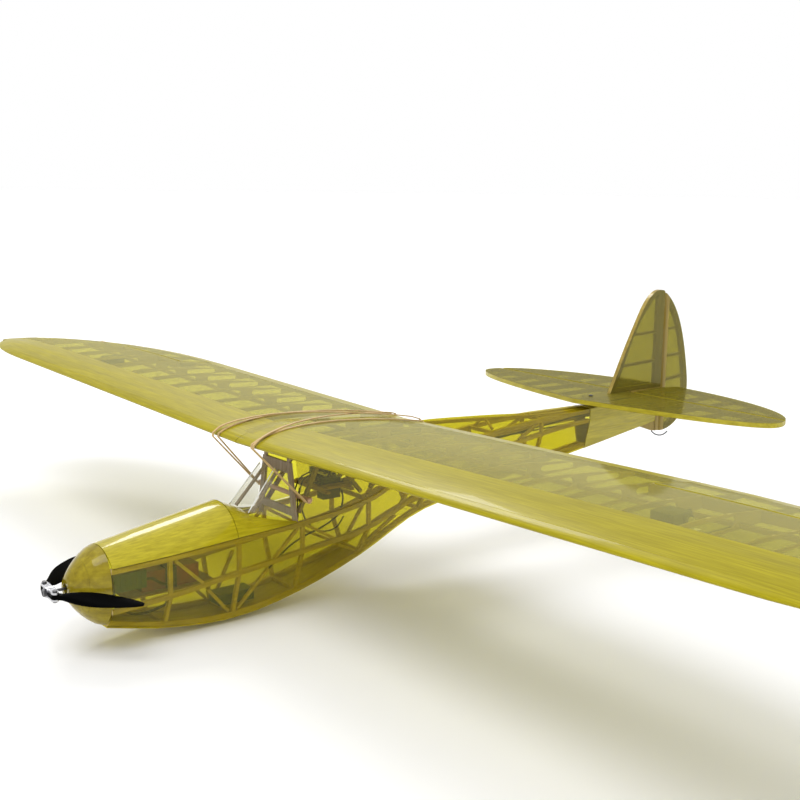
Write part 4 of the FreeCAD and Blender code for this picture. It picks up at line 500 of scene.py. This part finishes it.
def servo_details():
    """The screws that hold the arms of the two tray servos."""
    radius, sides = 0.0017, 16
    rudder_screw = tube([datum(10.3, 106.5, -47.35), datum(10.3, 106.5, -46.4)], radius, sides)
    elevator_screw = tube([datum(-1.35, 126.0, -52.0), datum(-0.4, 126.0, -52.0)], radius, sides)
    mesh_piece("servo_screws", *joined([rudder_screw, elevator_screw]), STEEL, "airframe")


def corner_gussets():
    """Small triangular gussets where the tailplane's ribs meet its rear spar."""
    leg, spar_front, bottom = 7.0, 601.45, -9.6
    height = Vector((0, 0, 0.0044))
    parts = []
    for rib in (-4, -3, -2, -1, 1, 2, 3, 4):
        for lean in (1, -1):
            edge = rib * RIB_PITCH + lean * RIB_HALF
            outline = [datum(edge, spar_front, bottom), datum(edge + lean * leg, spar_front, bottom),
                       datum(edge, 594.0, bottom)]
            parts.append(plate(outline if lean > 0 else outline[::-1], height))
    mesh_piece("tail_gussets", *joined(parts), RIM_WOOD, "airframe", False)


def pack_details():
    """End caps on the battery and cooling ribs on the speed controller."""
    parts = []
    for y in (-118.3, -54.2):
        corners = ((-14, -136.5), (14, -136.5), (14, -118.2), (-14, -118.2))
        parts.append(plate([datum(x, y, z) for x, z in corners], Vector((0, 0.0005, 0))))
    mesh_piece("battery_caps", *joined(parts), LEAD, "airframe", False)
    side, width, pitch = 29.0, 2.4, 5.5
    parts = []
    for k in range(5):
        y = -147.0 + pitch * k
        corners = ((y, -125.5), (y + width, -125.5), (y + width, -110.5), (y, -110.5))
        parts.append(plate([datum(side, along, z) for along, z in corners], Vector((0.0009, 0, 0))))
    mesh_piece("controller_ribs", *joined(parts), CIRCUIT, "airframe", False)


# ---------------------------------------------------------------- studio

def aimed(lamp, towards):
    """Turn a lamp so that it shines along a direction."""
    lamp.rotation_euler = towards.to_track_quat("-Z", "Y").to_euler()
    bpy.context.collection.objects.link(lamp)


def floor_and_light():
    """A pale floor under an even sky, a broad soft sun and one softbox beyond the starboard wing."""
    mesh = bpy.data.meshes.new("studio_floor")
    reach = 60.0
    corners = [(-reach, -reach, 0), (reach, -reach, 0), (reach, reach, 0), (-reach, reach, 0)]
    mesh.from_pydata(corners, [], [(0, 1, 2, 3)])
    floor = bpy.data.objects.new("studio_floor", mesh)
    bpy.context.collection.objects.link(floor)
    floor.location.z = -0.0005
    mesh.materials.append(plain("pale_floor", colour=(0.94, 0.94, 0.94), rough=0.8, grain=3.0,
                                depth=0.0, mottle=0.01))
    sky()
    sun = bpy.data.lights.new("overhead", "SUN")
    sun.energy = 1.3
    sun.angle = math.radians(38.0)
    aimed(bpy.data.objects.new("overhead", sun), Vector((-0.18, 0.42, -1.0)))
    data = bpy.data.lights.new("softbox", "AREA")
    data.size = 0.9
    data.energy = 26.0
    box = bpy.data.objects.new("softbox", data)
    box.location = (-2.1, 0.75, 2.3)
    aimed(box, Vector((-0.1, -0.1, 0.1)) - box.location)


def sky():
    """An even white surround, dimmer halfway up so that gloss has something to show."""
    world = bpy.data.worlds.new("studio")
    bpy.context.scene.world = world
    world.use_nodes = True
    tree = world.node_tree
    place = tree.nodes.new("ShaderNodeTexCoord")
    split = tree.nodes.new("ShaderNodeSeparateXYZ")
    tree.links.new(place.outputs["Generated"], split.inputs["Vector"])
    levels = [(0.0, 1.0), (0.17, 1.0), (0.34, 0.58), (0.7, 0.58), (0.9, 0.95)]
    shade = ramp(tree, split.outputs["Z"], [(z, (level, level, level)) for z, level in levels])
    backdrop = tree.nodes["Background"]
    tree.links.new(shade, backdrop.inputs["Color"])
    backdrop.inputs["Strength"].default_value = 1.0


def camera():
    """The camera, low and ahead of the port wing."""
    azimuth, tilt, roll = math.radians(51.71), math.radians(10.21), 0.0139
    place = Vector((1.0626, -0.88195, 0.4517))
    level = math.cos(tilt)
    back = Vector((math.sin(azimuth) * level, -math.cos(azimuth) * level, math.sin(tilt)))
    right = Vector((math.cos(azimuth), math.sin(azimuth), 0.0))
    up = back.cross(right)
    turned_right = right * math.cos(roll) + up * math.sin(roll)
    turned_up = up * math.cos(roll) - right * math.sin(roll)
    data = bpy.data.cameras.new("camera")
    data.lens = 53.51
    data.sensor_width = 36.0
    view = bpy.data.objects.new("camera", data)
    turn = Matrix((turned_right, turned_up, back)).transposed().to_4x4()
    view.matrix_world = Matrix.Translation(place) @ turn
    bpy.context.collection.objects.link(view)
    bpy.context.scene.camera = view


dress_frame()
screen_crease_highlights()
dowel_ends()
centre_tape()
hinge_tabs()
servo_details()
corner_gussets()
pack_details()
floor_and_light()
camera()
bpy.context.scene.cycles.transparent_max_bounces = 32
bpy.context.scene.view_settings.view_transform = "Standard"
